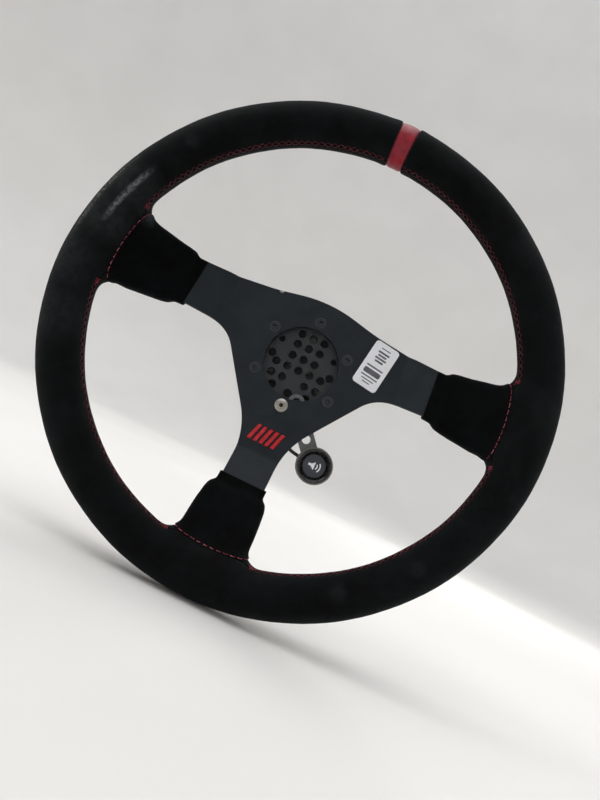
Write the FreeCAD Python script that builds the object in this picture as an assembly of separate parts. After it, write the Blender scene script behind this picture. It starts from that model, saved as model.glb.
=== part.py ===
"""Three-spoke competition steering wheel with the wheel half of a quick release.

Every shape is drawn in wheel coordinates: x to the driver's right, y up towards
the twelve o'clock mark, z along the column towards the driver, with z = 0 at the
mouth of the column socket.  Clock angles run clockwise as the driver sees them.
write_node turns each shape so that the column axis lies along the row's Y axis.
"""
import FreeCAD
import Part
import math
import os

Vec = FreeCAD.Vector
COLUMN_AXIS = Vec(0, 0, 1)
CENTRE = Vec(0, 0, 0)

# Wheel rim
WHEEL_DIAMETER = 350.0
GRIP_DIAMETER = 30.0
DISH = 50.0                 # spoke plate's front face to the rim's centre plane
SUEDE = 1.4                 # thickness of the rim cover
LEATHER = 0.7               # thickness of the twelve o'clock band
BAND_WIDTH = 12.0
BAND_GROOVE = 0.4           # gap each side of the band
CORE_WIDTH = 14.0
CORE_THICKNESS = 6.0

# Quick release, from the column end towards the driver
SOCKET_RADIUS = 18.0
SOCKET_LENGTH = 9.5
RELIEF_RADIUS = 18.7
BARREL_RADIUS = 25.0
FLANGE_RADIUS = 42.5
FLANGE_BACK = 36.0
FLANGE_THICKNESS = 8.0
VENT_PLATE_THICKNESS = 8.0
PLATE_THICKNESS = 4.0
BALL_RADIUS = 4.0
BALL_CENTRE_RADIUS = 21.0
BALL_LEVEL = 14.0
BALL_COUNT = 6
BALL_PLAY = 0.1
COLLAR_RADIUS = 32.0
COLLAR_LOW = 3.0
COLLAR_CONE_TOP = 15.0
COLLAR_POCKET = 20.0        # floor of the spring pocket
COLLAR_TOP = 28.0
COLLAR_TRAVEL = 7.0
BALL_TRAVEL = 1.4
STOP_RING_LOW = 1.0
STOP_RING_RADIUS = 30.5

# Inside the hub: drive ring, clip and contact block
RING_LOW = 22.0
RING_HIGH = 31.6
RING_RADIUS = 21.0
SPLINE_COUNT = 12
SPLINE_TIP_RADIUS = 13.5
DOWEL_RADIUS = 1.5
DOWEL_LOW = 23.0
CLIP_THICKNESS = 1.2
CLIP_RADIUS = 22.2
BLOCK_LOW = 34.5
BLOCK_SEAT = 39.0
BLOCK_TOP = 43.0
BLOCK_SCREW = Vec(0, 23.0, 0)
BLOCK_SCREW_RADIUS = 1.25
CONTACT_OFFSET = 6.0        # each side of the column axis
CONTACT_SEAT = 36.0         # step that the plungers' collars rest on
PLUG_LOW = 41.5             # brass plug above each contact spring

# Bolt pattern shared by spoke plate, vent plate and hub
BOLT_CIRCLE = 70.0
BOLT_COUNT = 6
M5_RADIUS = 2.5
M5_CLEARANCE = 2.75
SCREW_HEAD_RADIUS = 4.8
STRAP_SCREW_CLOCK = 180.0   # this place carries the longer, plated screw

# Spoke plate
HUB_HOLE_RADIUS = 28.5
BEND_RADIUS = 6.0
BEND_DISTANCE = 75.0        # from the centre to the bend of each spoke
TIP_START = 146.0           # from the centre to the flat tip of each spoke
TIP_RADIUS = 166.0
SIDE_SPOKE_CLOCK = 85.0
SPOKE_CLOCKS = {"right": SIDE_SPOKE_CLOCK, "left": -SIDE_SPOKE_CLOCK, "bottom": 180.0}

# Vent plate
VENT_PITCH = 9.35
VENT_RADIUS = 3.0
SMALL_VENT_RADIUS = 2.2
RECESS_DEPTH = 3.0
RECESS_RADIUS = 30.0
CHAMBER_RADIUS = 29.0

# Horn button and its strap
BUTTON = Vec(41.3, -65.3, 0)
STRAP_END = Vec(9.2, -27.8, 0)
STRAP_HOLE = Vec(28.0, -49.8, 0)
STRAP_WIDTH = 13.0
STRAP_THICKNESS = 3.0
STRAP_HOLE_RADIUS = 3.3
HOUSING_RADIUS = 13.8
HOUSING_HEIGHT = 12.0
HOUSING_WALL = 1.4
HOUSING_FLOOR = 1.2
NECK_RADIUS = 6.0
NECK_END = 41.0
SWITCH_RADIUS = 4.3
CAP_RADIUS = 9.1
DISC_RADIUS = 8.0

# Cable from the button to the hub
CABLE_RADIUS = 1.4
CABLE_ENTRY_CLOCK = 167.0
CABLE_LEVEL = 41.0          # where the cable enters the hub flange
CABLE_BUTTON_LEVEL = 37.0   # where it leaves the button's rubber cap
SPOUT_START = 7.5
SPOUT_END = 13.5
CABLE_TURN = Vec(20.0, -61.8, 37.4)
ENTRY_RADIUS = 2.5
GROMMET_END = 44.4

# Marks and label
BADGE_LEVEL = -61.0
BADGE_WIDTH = 26.0
BADGE_HEIGHT = 12.8
BADGE_THICKNESS = 0.9
LABEL_CENTRE = Vec(51.9, 22.8, 0)
LABEL_WIDTH = 20.4
LABEL_LENGTH = 37.2
LABEL_LEAN = 8.3
LABEL_THICKNESS = 0.15

# Small breaks on machined edges
PLATE_EDGE = 0.4
STRAP_EDGE = 0.3
HOLE_EDGE = 0.3

# Derived places
RIM_RADIUS = (WHEEL_DIAMETER - GRIP_DIAMETER) / 2
GRIP_RADIUS = GRIP_DIAMETER / 2
FOAM_RADIUS = GRIP_RADIUS - SUEDE
FLANGE_FRONT = FLANGE_BACK + FLANGE_THICKNESS
PLATE_BACK = FLANGE_FRONT + VENT_PLATE_THICKNESS
PLATE_FRONT = PLATE_BACK + PLATE_THICKNESS
RIM_LEVEL = PLATE_FRONT + DISH
CORE_BACK = RIM_LEVEL - CORE_THICKNESS / 2
STRAP_BACK = PLATE_BACK - STRAP_THICKNESS
BOLT_RADIUS = BOLT_CIRCLE / 2
FLANGE_OF_CAP = PLATE_BACK + 5.5
BEZEL_BACK = FLANGE_OF_CAP + 1.5
HOUSING_TOP = PLATE_BACK + HOUSING_HEIGHT
CAP_TOP = HOUSING_TOP - 1.0


# ---------------------------------------------------------------- basic shapes

def at_clock(radius, clock, level=0.0):
    """Point at a radius and a clock angle in degrees from twelve o'clock."""
    angle = math.radians(clock)
    return Vec(radius * math.sin(angle), radius * math.cos(angle), level)


def drum(radius, low, high, centre=CENTRE):
    """Solid cylinder along the column axis."""
    return Part.makeCylinder(radius, high - low, Vec(centre.x, centre.y, low), COLUMN_AXIS)


def tube(outer, inner, low, high, centre=CENTRE):
    """Hollow cylinder along the column axis."""
    return drum(outer, low, high, centre).cut(drum(inner, low, high, centre))


def cone(radius_low, radius_high, low, high, centre=CENTRE):
    """Frustum along the column axis."""
    base = Vec(centre.x, centre.y, low)
    return Part.makeCone(radius_low, radius_high, high - low, base, COLUMN_AXIS)


def hexagon(across_flats, low, high, centre=CENTRE):
    """Hexagonal bar along the column axis."""
    radius = across_flats / math.sqrt(3)
    corners = [centre + at_clock(radius, 60 * i, low) for i in range(6)]
    return prism(Part.makePolygon(corners + corners[:1]), high - low)


def prism(wire, height):
    """Closed wire drawn up along the column axis."""
    return Part.Face(wire).extrude(Vec(0, 0, height))


def fuse(shapes):
    """One solid from several touching shapes."""
    return shapes[0].multiFuse(shapes[1:]).removeSplitter()


def cut_all(shape, tools):
    """Shape with every tool removed."""
    return shape.cut(Part.makeCompound(tools))


def turned(shape, clock):
    """Shape drawn at twelve o'clock, moved round to a clock angle."""
    copy = shape.copy()
    copy.rotate(CENTRE, COLUMN_AXIS, -clock)
    return copy


def ring_of(shape, count, start=0.0):
    """Copies of a shape spread evenly round the column axis."""
    return [turned(shape, start + 360.0 * i / count) for i in range(count)]


def rounded_wire(corners):
    """Closed wire through corners (point, radius), each rounded by its radius."""
    edges = []
    stops = []
    count = len(corners)
    for i, (point, radius) in enumerate(corners):
        before = (corners[i - 1][0] - point).normalize()
        after = (corners[(i + 1) % count][0] - point).normalize()
        half = before.getAngle(after) / 2
        if radius == 0:
            stops.append((point, point, None))
            continue
        reach = radius / math.tan(half)
        middle = (before + after).normalize() * (radius / math.sin(half) - radius)
        stops.append((point + before * reach, point + after * reach, point + middle))
    for i, (enter, leave, middle) in enumerate(stops):
        if middle is not None:
            edges.append(Part.Arc(enter, middle, leave).toShape())
        following = stops[(i + 1) % count][0]
        if leave.distanceToPoint(following) > 1e-6:
            edges.append(Part.LineSegment(leave, following).toShape())
    return Part.Wire(edges)


def break_edges(shape, size, inner, outer):
    """Round a sheet's outline edges that lie between two radii from the column axis."""
    edges = []
    for edge in shape.Edges:
        middle = edge.valueAt((edge.FirstParameter + edge.LastParameter) / 2)
        walls = 0
        for face in shape.ancestorsOfType(edge, Part.Face):
            normal = face.normalAt(*face.Surface.parameter(middle))
            walls += abs(normal.z) < 0.02
        if walls == 1 and inner < math.hypot(middle.x, middle.y) < outer:
            edges.append(edge)
    return shape.makeFillet(size, edges)


def coil_spring(radius, wire_radius, low, high, half_turns, centre=CENTRE):
    """Round-wire compression spring between two levels, as half rings tilted in turn."""
    rise = (high - low - 2 * wire_radius) / half_turns
    tilt = math.degrees(math.atan2(rise, 2 * radius))
    halves = []
    for i in range(half_turns):
        half = Part.makeTorus(math.hypot(radius, rise / 2), wire_radius, CENTRE,
                              COLUMN_AXIS, 0, 360, 180)
        half.rotate(CENTRE, Vec(0, 1, 0), tilt)
        half.rotate(CENTRE, COLUMN_AXIS, 180.0 * (i % 2))
        half.translate(Vec(centre.x, centre.y, low + wire_radius + rise * (i + 0.5)))
        halves.append(half)
    return fuse(halves)


# ------------------------------------------------------------------- rim parts

def torus(radius):
    """Ring of round section on the rim's centre line."""
    return Part.makeTorus(RIM_RADIUS, radius, Vec(0, 0, RIM_LEVEL), COLUMN_AXIS)


def band_slot(width):
    """Slice across the rim at twelve o'clock."""
    depth = 2 * GRIP_DIAMETER
    corner = Vec(-width / 2, RIM_RADIUS - depth / 2, RIM_LEVEL - depth / 2)
    return Part.makeBox(width, depth, depth, corner)


def rivet_places():
    """Two rivets through each spoke tip."""
    half_step = 2.6
    places = []
    for clock in SPOKE_CLOCKS.values():
        places.append(at_clock(RIM_RADIUS, clock - half_step))
        places.append(at_clock(RIM_RADIUS, clock + half_step))
    return places


def rim_core():
    """Flat aluminium hoop inside the rim."""
    inner = RIM_RADIUS - CORE_WIDTH / 2
    outer = RIM_RADIUS + CORE_WIDTH / 2
    hoop = tube(outer, inner, CORE_BACK, CORE_BACK + CORE_THICKNESS)
    return cut_all(hoop, [drum(2.5, CORE_BACK, RIM_LEVEL + 9, p) for p in rivet_places()])


def rim_rivets():
    """Rivets that hold the spoke tips to the hoop."""
    rivets = []
    tip_back = CORE_BACK - PLATE_THICKNESS
    core_front = CORE_BACK + CORE_THICKNESS
    for place in rivet_places():
        shank = drum(2.5, tip_back, core_front, place)
        set_head = drum(4.0, core_front, core_front + 1.6, place)
        tail = drum(3.8, tip_back - 1.4, tip_back, place)
        rivets.append(fuse([shank, set_head, tail]))
    return Part.makeCompound(rivets)


def boot_sections(side):
    """Padding of one spoke root: (distance out, sideways, width, height) sections."""
    if side == "bottom":
        return [(104.5, 0, 37.5, 11), (118, 0, 44, 14.5), (131, 0, 46.5, 17.5),
                (143, 0, 56, 19), (152, 0, 64, 18)]
    lean = 1 if side == "right" else -1
    return [(105.5, 7.4 * lean, 40, 11), (118, 4.6 * lean, 44.5, 14.5),
            (131, 2.4 * lean, 49.5, 17.5), (143, 1.4 * lean, 58, 19),
            (152, 0.8 * lean, 66, 18)]


def spoke_level(distance):
    """Mid-thickness level of a spoke at a distance from the centre."""
    start = PLATE_BACK + PLATE_THICKNESS / 2
    end = CORE_BACK - PLATE_THICKNESS / 2
    share = (distance - BEND_DISTANCE) / (TIP_START - BEND_DISTANCE)
    return start + (end - start) * min(max(share, 0), 1)


def section_wire(distance, sideways, width, height, side):
    """Rounded section across a spoke, in a plane square to its direction."""
    level = spoke_level(distance) + max(0, distance - 131) * 0.12
    corner = min(width, height) * 0.42
    half_width = width / 2
    half_height = height / 2
    corners = []
    for across, up in ((-1, -1), (1, -1), (1, 1), (-1, 1)):
        point = Vec(-sideways + across * half_width, distance, level + up * half_height)
        corners.append((point, corner))
    wire = rounded_wire(corners)
    wire.rotate(CENTRE, COLUMN_AXIS, -SPOKE_CLOCKS[side])
    return wire


def boot_block(side, skin=0.0):
    """Padded spoke root, drawn in by the thickness of its cover."""
    wires = []
    for i, (distance, sideways, width, height) in enumerate(boot_sections(side)):
        reach = distance + (3 * skin if i == 0 else 0)
        wires.append(section_wire(reach, sideways, width - 2 * skin, height - 2.2 * skin, side))
    return Part.makeLoft(wires, True, True)


def boot_cuff(side):
    """Thin end of a boot, lying close round the bare spoke."""
    first = boot_sections(side)[0]
    width = 36.2 if side == "bottom" else 39.8
    sideways = 0 if side == "bottom" else first[1] * 1.17
    near = section_wire(96.0, sideways, width, 7.8, side)
    far = section_wire(first[0] + 0.6, first[1], width, 7.8, side)
    return Part.makeLoft([near, far], True, True)


def boot(side, plate):
    """Suede boot sewn round one spoke root."""
    outer = fuse([boot_block(side), boot_cuff(side)])
    hollow = outer.cut(boot_block(side, SUEDE - 0.2)).cut(plate).cut(torus(GRIP_RADIUS))
    return largest_solid(hollow)


def largest_solid(shape):
    """The biggest solid of a shape, without crumbs left by a cut."""
    return max(shape.Solids, key=lambda solid: solid.Volume)


def rim_foam(plate, core, rivets):
    """Moulded polyurethane rim with its three spoke roots."""
    blocks = [boot_block(side, SUEDE - 0.2) for side in SPOKE_CLOCKS]
    body = fuse([torus(FOAM_RADIUS)] + blocks)
    return largest_solid(cut_all(body, [plate, core, rivets]))


def rim_cover():
    """Suede sleeve round the rim, open at the band and at the spoke roots."""
    sleeve = torus(GRIP_RADIUS).cut(torus(FOAM_RADIUS))
    windows = [boot_block(side, SUEDE - 0.2) for side in SPOKE_CLOCKS]
    gap = band_slot(BAND_WIDTH + 2 * BAND_GROOVE)
    return largest_solid(cut_all(sleeve, windows + [gap]))


def top_mark_band():
    """Leather band that marks straight ahead, sunk between the cover's ends."""
    band = torus(FOAM_RADIUS + LEATHER).cut(torus(FOAM_RADIUS))
    return band.common(band_slot(BAND_WIDTH))


# ----------------------------------------------------------------- spoke plate

def plate_outline():
    """Outline of the spoke plate seen from the driver's seat."""
    right = [(Vec(42, 44, 0), 150), (Vec(78, 39.6, 0), 60), (Vec(96, 35.9, 0), 60),
             (Vec(150, 27.5, 0), 0), (Vec(172, 26, 0), 0), (Vec(172, -1, 0), 0),
             (Vec(150, -1.5, 0), 0), (Vec(63.9, 3.2, 0), 30), (Vec(16.7, -62.7, 0), 60),
             (Vec(15.5, -172, 0), 0)]
    left = [(Vec(-point.x, point.y, 0), radius) for point, radius in reversed(right)]
    return rounded_wire([(Vec(0, 53, 0), 104)] + right + left)


def bent_strip(side):
    """Endless strip of sheet with the two bends of one spoke."""
    half = PLATE_THICKNESS / 2
    low = PLATE_BACK + half
    high = CORE_BACK - half
    slope = math.atan2(high - low, TIP_START - BEND_DISTANCE)
    shift = half * math.tan(slope / 2)
    outer_bend = BEND_RADIUS + PLATE_THICKNESS
    reach = TIP_RADIUS + 12
    start = BEND_DISTANCE - 15
    corners = [
        (Vec(0, start, low - half), 0),
        (Vec(0, BEND_DISTANCE + shift, low - half), outer_bend),
        (Vec(0, TIP_START + shift, high - half), BEND_RADIUS),
        (Vec(0, reach, high - half), 0),
        (Vec(0, reach, high + half), 0),
        (Vec(0, TIP_START - shift, high + half), outer_bend),
        (Vec(0, BEND_DISTANCE - shift, low + half), BEND_RADIUS),
        (Vec(0, start, low + half), 0),
    ]
    half_length = 45
    strip = Part.Face(rounded_wire(corners)).extrude(Vec(2 * half_length, 0, 0))
    strip.translate(Vec(-half_length, 0, 0))
    return turned(strip, SPOKE_CLOCKS[side])


def screw_places(clocks):
    """Points on the bolt circle."""
    return [at_clock(BOLT_RADIUS, clock) for clock in clocks]


def plate_screw_clocks():
    """The five places of the black screws."""
    step = 360.0 / BOLT_COUNT
    return [step * i for i in range(BOLT_COUNT) if step * i != STRAP_SCREW_CLOCK]


def spoke_plate():
    """Flat hub and three bent spokes, cut from one aluminium sheet."""
    outline = plate_outline()
    blank = prism(outline, RIM_LEVEL)
    flat = blank.common(drum(WHEEL_DIAMETER, PLATE_BACK, PLATE_FRONT))
    parts = []
    for side, clock in SPOKE_CLOCKS.items():
        beyond = Part.makeBox(90, 120, RIM_LEVEL, Vec(-45, BEND_DISTANCE - 15, 0))
        flat = flat.cut(turned(beyond, clock))
        parts.append(blank.common(bent_strip(side)))
    plate = fuse([flat] + parts)
    plate = plate.common(drum(TIP_RADIUS, 0, RIM_LEVEL))
    tools = [drum(HUB_HOLE_RADIUS, PLATE_BACK - 1, PLATE_FRONT + 1)]
    sink = SCREW_HEAD_RADIUS + 0.1 - M5_CLEARANCE
    for place in screw_places(plate_screw_clocks() + [STRAP_SCREW_CLOCK]):
        tools.append(drum(M5_CLEARANCE, PLATE_BACK - 1, PLATE_FRONT + 1, place))
        tools.append(cone(M5_CLEARANCE, SCREW_HEAD_RADIUS + 0.1,
                          PLATE_FRONT - sink, PLATE_FRONT, place))
    for place in rivet_places():
        tools.append(drum(2.5, CORE_BACK - 8, CORE_BACK, place))
    plate = cut_all(plate, tools)
    return break_edges(plate, PLATE_EDGE, BOLT_RADIUS + 6, TIP_START)


def hex_socket(across_flats, depth, top, place):
    """Key socket in a screw head."""
    return hexagon(across_flats, top - depth, top + 1, place)


def plate_screws():
    """Black countersunk screws through the plate, the vent plate and the hub."""
    tip = FLANGE_BACK + 1
    head_depth = SCREW_HEAD_RADIUS - M5_RADIUS
    top = PLATE_FRONT - 0.1
    screws = []
    for place in screw_places(plate_screw_clocks()):
        shank = drum(M5_RADIUS, tip, top - head_depth, place)
        head = cone(M5_RADIUS, SCREW_HEAD_RADIUS, top - head_depth, top, place)
        screws.append(fuse([shank, head]).cut(hex_socket(3.0, 1.8, top, place)))
    return Part.makeCompound(screws)


def strap_screw():
    """Plated dome-head screw that also clamps the button strap."""
    place = at_clock(BOLT_RADIUS, STRAP_SCREW_CLOCK)
    shank = drum(M5_RADIUS, FLANGE_BACK + 1, PLATE_FRONT, place)
    dome_radius = 8.5
    dome_centre = Vec(place.x, place.y, PLATE_FRONT + 2.5 - dome_radius)
    dome = drum(5.0, PLATE_FRONT, PLATE_FRONT + 4, place)
    dome = dome.common(Part.makeSphere(dome_radius, dome_centre))
    screw = fuse([shank, dome])
    return screw.cut(hex_socket(3.0, 1.8, PLATE_FRONT + 2.5, place))


# ------------------------------------------------------------------- hub parts

def vent_places():
    """Vent holes on a square grid: (across, down) in pitches, then the radius."""
    rows = {-2.43: (-1, 0, 1), -1.5: (-1, 0, 1), -0.5: (-1, 0, 1),
            0.5: (-2, -1, 0, 1, 2), 1.5: (-2, -1, 1, 2)}
    places = [(across, down, VENT_RADIUS) for down, row in rows.items() for across in row]
    for across in (-1, 1):
        places.append((2.34 * across, -1.37, SMALL_VENT_RADIUS))
        places.append((2.6 * across, 0.0, VENT_RADIUS))
        places.append((1.5 * across, 2.4, VENT_RADIUS))
    places.append((0, 2.55, VENT_RADIUS))
    return places


def strap_blank(clearance, low, high):
    """Outline of the flat strap with its screw lug, drawn up between two levels."""
    along = (BUTTON - STRAP_END).normalize()
    across = Vec(-along.y, along.x, 0)
    half = STRAP_WIDTH / 2 + clearance
    corners = [STRAP_END + across * half, BUTTON + across * half,
               BUTTON - across * half, STRAP_END - across * half]
    corners = [Vec(corner.x, corner.y, low) for corner in corners]
    bar = prism(Part.makePolygon(corners + corners[:1]), high - low)
    lug_end = at_clock(BOLT_RADIUS, STRAP_SCREW_CLOCK)
    lug = drum(STRAP_WIDTH / 2 + clearance, low, high, lug_end)
    end = drum(half, low, high, STRAP_END)
    reach = STRAP_END + along * 6
    side = (reach - lug_end).normalize()
    normal = Vec(-side.y, side.x, 0) * (5.5 + clearance)
    web = [lug_end + normal, reach + normal, reach - normal, lug_end - normal]
    web = [Vec(corner.x, corner.y, low) for corner in web]
    arm = prism(Part.makePolygon(web + web[:1]), high - low)
    eye = drum(11.0, low, high, BUTTON)
    return fuse([bar, end, lug, arm, eye])


def button_strap():
    """Flat bar from the strap screw out to the horn button."""
    blank = strap_blank(0.0, STRAP_BACK, PLATE_BACK)
    tools = [
        drum(STRAP_HOLE_RADIUS, STRAP_BACK, PLATE_BACK, STRAP_END),
        drum(STRAP_HOLE_RADIUS, STRAP_BACK, PLATE_BACK, STRAP_HOLE),
        drum(NECK_RADIUS, STRAP_BACK, PLATE_BACK, BUTTON),
        drum(M5_CLEARANCE, STRAP_BACK, PLATE_BACK, at_clock(BOLT_RADIUS, STRAP_SCREW_CLOCK)),
    ]
    return break_edges(cut_all(blank, tools), STRAP_EDGE, 0, WHEEL_DIAMETER)


def vent_plate():
    """Drilled spacer between the hub and the spoke plate, dished on both faces."""
    disc = drum(FLANGE_RADIUS, FLANGE_FRONT, PLATE_BACK)
    tools = [
        drum(RECESS_RADIUS, PLATE_BACK - RECESS_DEPTH, PLATE_BACK),
        drum(RECESS_RADIUS - 2, FLANGE_FRONT, FLANGE_FRONT + 2),
        strap_blank(0.3, STRAP_BACK, PLATE_BACK),
    ]
    for across, down, radius in vent_places():
        place = Vec(across * VENT_PITCH, -down * VENT_PITCH, 0)
        face = PLATE_BACK - RECESS_DEPTH
        tools.append(drum(radius, FLANGE_FRONT, PLATE_BACK, place))
        tools.append(cone(radius, radius + HOLE_EDGE, face - HOLE_EDGE, face, place))
    for place in screw_places(plate_screw_clocks() + [STRAP_SCREW_CLOCK]):
        tools.append(drum(M5_CLEARANCE, FLANGE_FRONT, PLATE_BACK, place))
    return cut_all(disc, tools)


def ball_pocket():
    """Radial hole with a round seat that keeps a ball from falling inwards."""
    radius = BALL_RADIUS + BALL_PLAY
    centre = Vec(0, BALL_CENTRE_RADIUS, BALL_LEVEL)
    seat = Part.makeSphere(radius, centre)
    hole = Part.makeCylinder(radius, 8, centre, Vec(0, 1, 0))
    return fuse([seat, hole])


def entry_hole(radius, start, end):
    """Radial bar through the hub flange where the cable goes in."""
    inward = at_clock(1, CABLE_ENTRY_CLOCK)
    return Part.makeCylinder(radius, end - start, at_clock(start, CABLE_ENTRY_CLOCK, CABLE_LEVEL),
                             inward)


def dowels():
    """Three bars between the drive ring and the barrel."""
    return ring_of(drum(DOWEL_RADIUS, DOWEL_LOW, RING_HIGH, Vec(0, RING_RADIUS, 0)), 3)


def hub_barrel():
    """Barrel that plugs over the column boss, bored for the locking parts."""
    body = drum(BARREL_RADIUS, 0, BLOCK_SEAT)
    tools = [
        drum(SOCKET_RADIUS, 0, SOCKET_LENGTH),
        drum(RELIEF_RADIUS, SOCKET_LENGTH, RING_LOW),
        drum(RING_RADIUS, RING_LOW, BLOCK_SEAT),
        tube(CLIP_RADIUS, RING_RADIUS - 0.5, RING_HIGH, RING_HIGH + CLIP_THICKNESS),
    ]
    tools += ring_of(ball_pocket(), BALL_COUNT, 30.0)
    tools += dowels()
    tools += ring_of(drum(BLOCK_SCREW_RADIUS, BLOCK_LOW, BLOCK_SEAT, BLOCK_SCREW), 3)
    return cut_all(body, tools)


def hub_flange():
    """Flange pressed on the barrel, which carries the vent plate and the wheel."""
    body = tube(FLANGE_RADIUS, BARREL_RADIUS, FLANGE_BACK, FLANGE_FRONT)
    tools = [
        drum(CHAMBER_RADIUS, BLOCK_SEAT, FLANGE_FRONT),
        entry_hole(ENTRY_RADIUS, CHAMBER_RADIUS - 1, FLANGE_RADIUS + 1),
    ]
    for place in screw_places(plate_screw_clocks() + [STRAP_SCREW_CLOCK]):
        tools.append(drum(M5_RADIUS, FLANGE_BACK + 1, FLANGE_FRONT, place))
    return cut_all(body, tools)


def release_collar():
    """Sliding sleeve: its cone holds the balls in until it is pulled to the driver."""
    slope = BALL_TRAVEL / COLLAR_TRAVEL
    bore = BARREL_RADIUS + 0.1
    mouth = bore + slope * (COLLAR_CONE_TOP - COLLAR_LOW)
    outer = fuse([
        cone(COLLAR_RADIUS - 1, COLLAR_RADIUS, COLLAR_LOW, COLLAR_LOW + 1),
        drum(COLLAR_RADIUS, COLLAR_LOW + 1, COLLAR_TOP - 1),
        cone(COLLAR_RADIUS, COLLAR_RADIUS - 1, COLLAR_TOP - 1, COLLAR_TOP),
    ])
    tools = [
        cone(mouth, bore, COLLAR_LOW, COLLAR_CONE_TOP),
        drum(bore, COLLAR_CONE_TOP, COLLAR_TOP),
        drum(COLLAR_RADIUS - 2.4, COLLAR_POCKET, COLLAR_TOP),
    ]
    flute = drum(1.6, COLLAR_LOW + 4, COLLAR_TOP - 4, Vec(0, COLLAR_RADIUS + 0.9, 0))
    return cut_all(outer, tools + ring_of(flute, 24))


def collar_spring():
    """Spring that returns the collar to the locked place."""
    return coil_spring(27.4, 0.75, COLLAR_POCKET + 0.1, FLANGE_BACK - 0.1, 9)


def stop_ring():
    """Ring on the mouth of the barrel that stops the collar."""
    ring = tube(STOP_RING_RADIUS, BARREL_RADIUS, STOP_RING_LOW, COLLAR_LOW)
    spanner_notch = drum(1.8, STOP_RING_LOW, COLLAR_LOW, Vec(0, STOP_RING_RADIUS + 0.7, 0))
    return cut_all(ring, ring_of(spanner_notch, 4))


def lock_ball(number):
    """Steel ball that drops into the column boss's groove."""
    clock = 30.0 + 360.0 * number / BALL_COUNT
    return Part.makeSphere(BALL_RADIUS, at_clock(BALL_CENTRE_RADIUS, clock, BALL_LEVEL))


def drive_ring():
    """Steel ring with the internal splines that turn the column."""
    ring = tube(RING_RADIUS, SPLINE_TIP_RADIUS, RING_LOW, RING_HIGH)
    width = 3.4
    corner = Vec(-width / 2, SPLINE_TIP_RADIUS - 1.5, RING_LOW)
    groove = Part.makeBox(width, 4.0, RING_HIGH - RING_LOW, corner)
    return cut_all(ring, ring_of(groove, SPLINE_COUNT) + dowels())


def drive_pins():
    """Dowels that key the drive ring to the barrel."""
    return Part.makeCompound(dowels())


def drive_ring_clip():
    """Internal circlip above the drive ring, with its two plier holes."""
    top = RING_HIGH + CLIP_THICKNESS
    width = 3.4
    ears = [at_clock(18.0, clock) for clock in (171, 189)]
    ring = fuse([tube(CLIP_RADIUS, CLIP_RADIUS - width, RING_HIGH, top)]
                + [drum(2.6, RING_HIGH, top, ear) for ear in ears])
    gap = 2.6
    opening = Part.makeBox(gap, 10, CLIP_THICKNESS, Vec(-gap / 2, -24, RING_HIGH))
    return cut_all(ring, [opening] + [drum(1.0, RING_HIGH, top, ear) for ear in ears])


# ------------------------------------------------------- contacts in the hub

def contact_places():
    """The two electric contacts, side by side on the column axis."""
    return [Vec(-CONTACT_OFFSET, 0, 0), Vec(CONTACT_OFFSET, 0, 0)]


def contact_block():
    """Nylon block that carries the two sprung contacts."""
    block = fuse([drum(RING_RADIUS - 0.2, BLOCK_LOW, BLOCK_SEAT),
                  drum(CHAMBER_RADIUS - 2, BLOCK_SEAT, BLOCK_TOP)])
    tools = []
    for place in contact_places():
        tools.append(drum(1.6, BLOCK_LOW, CONTACT_SEAT, place))
        tools.append(drum(2.4, CONTACT_SEAT, BLOCK_TOP, place))
    tools += ring_of(drum(1.6, BLOCK_SEAT, BLOCK_TOP, BLOCK_SCREW), 3)
    return cut_all(block, tools)


def contact_block_screws():
    """Cap screws that hold the contact block in the hub."""
    shank = drum(BLOCK_SCREW_RADIUS, BLOCK_LOW + 0.5, BLOCK_TOP, BLOCK_SCREW)
    head_top = BLOCK_TOP + 2
    head = drum(2.6, BLOCK_TOP, head_top, BLOCK_SCREW)
    screw = fuse([shank, head]).cut(hex_socket(2.0, 1.2, head_top, BLOCK_SCREW))
    return Part.makeCompound(ring_of(screw, 3))


def contact_terminals():
    """Brass plugs above the contact springs, where the wires are soldered."""
    terminals = []
    top = BLOCK_TOP + 1.4
    for place in contact_places():
        plug = drum(2.4, PLUG_LOW, BLOCK_TOP, place)
        head = drum(3.2, BLOCK_TOP, top, place)
        slot = Part.makeBox(0.8, 8, 0.7, Vec(place.x - 0.4, -4, top - 0.7))
        terminals.append(fuse([plug, head]).cut(slot))
    return Part.makeCompound(terminals)


def contact_pin(place):
    """Sprung brass plunger that meets the column's contact pad."""
    nose_level = 29.5
    collar_low = CONTACT_SEAT + 0.05
    rod = drum(1.5, nose_level, collar_low + 0.05, place)
    collar = drum(2.25, collar_low, collar_low + 1.15, place)
    nose = Part.makeSphere(1.5, Vec(place.x, place.y, nose_level))
    return fuse([rod, collar, nose])


def contact_spring(place):
    """Small spring between a plunger and its terminal."""
    return coil_spring(1.75, 0.2, CONTACT_SEAT + 1.25, PLUG_LOW - 0.05, 10, place)


# ----------------------------------------------------------------- horn button

def button_housing():
    """Turned aluminium cup with a threaded neck."""
    bevel = 0.8
    cup = fuse([drum(HOUSING_RADIUS, PLATE_BACK, HOUSING_TOP - bevel, BUTTON),
                cone(HOUSING_RADIUS, HOUSING_RADIUS - 0.6, HOUSING_TOP - bevel, HOUSING_TOP, BUTTON),
                drum(NECK_RADIUS, NECK_END, PLATE_BACK, BUTTON)])
    tools = [drum(HOUSING_RADIUS - HOUSING_WALL, PLATE_BACK + HOUSING_FLOOR, HOUSING_TOP, BUTTON),
             drum(SWITCH_RADIUS, NECK_END, PLATE_BACK + HOUSING_FLOOR, BUTTON)]
    return cut_all(cup, tools)


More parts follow.
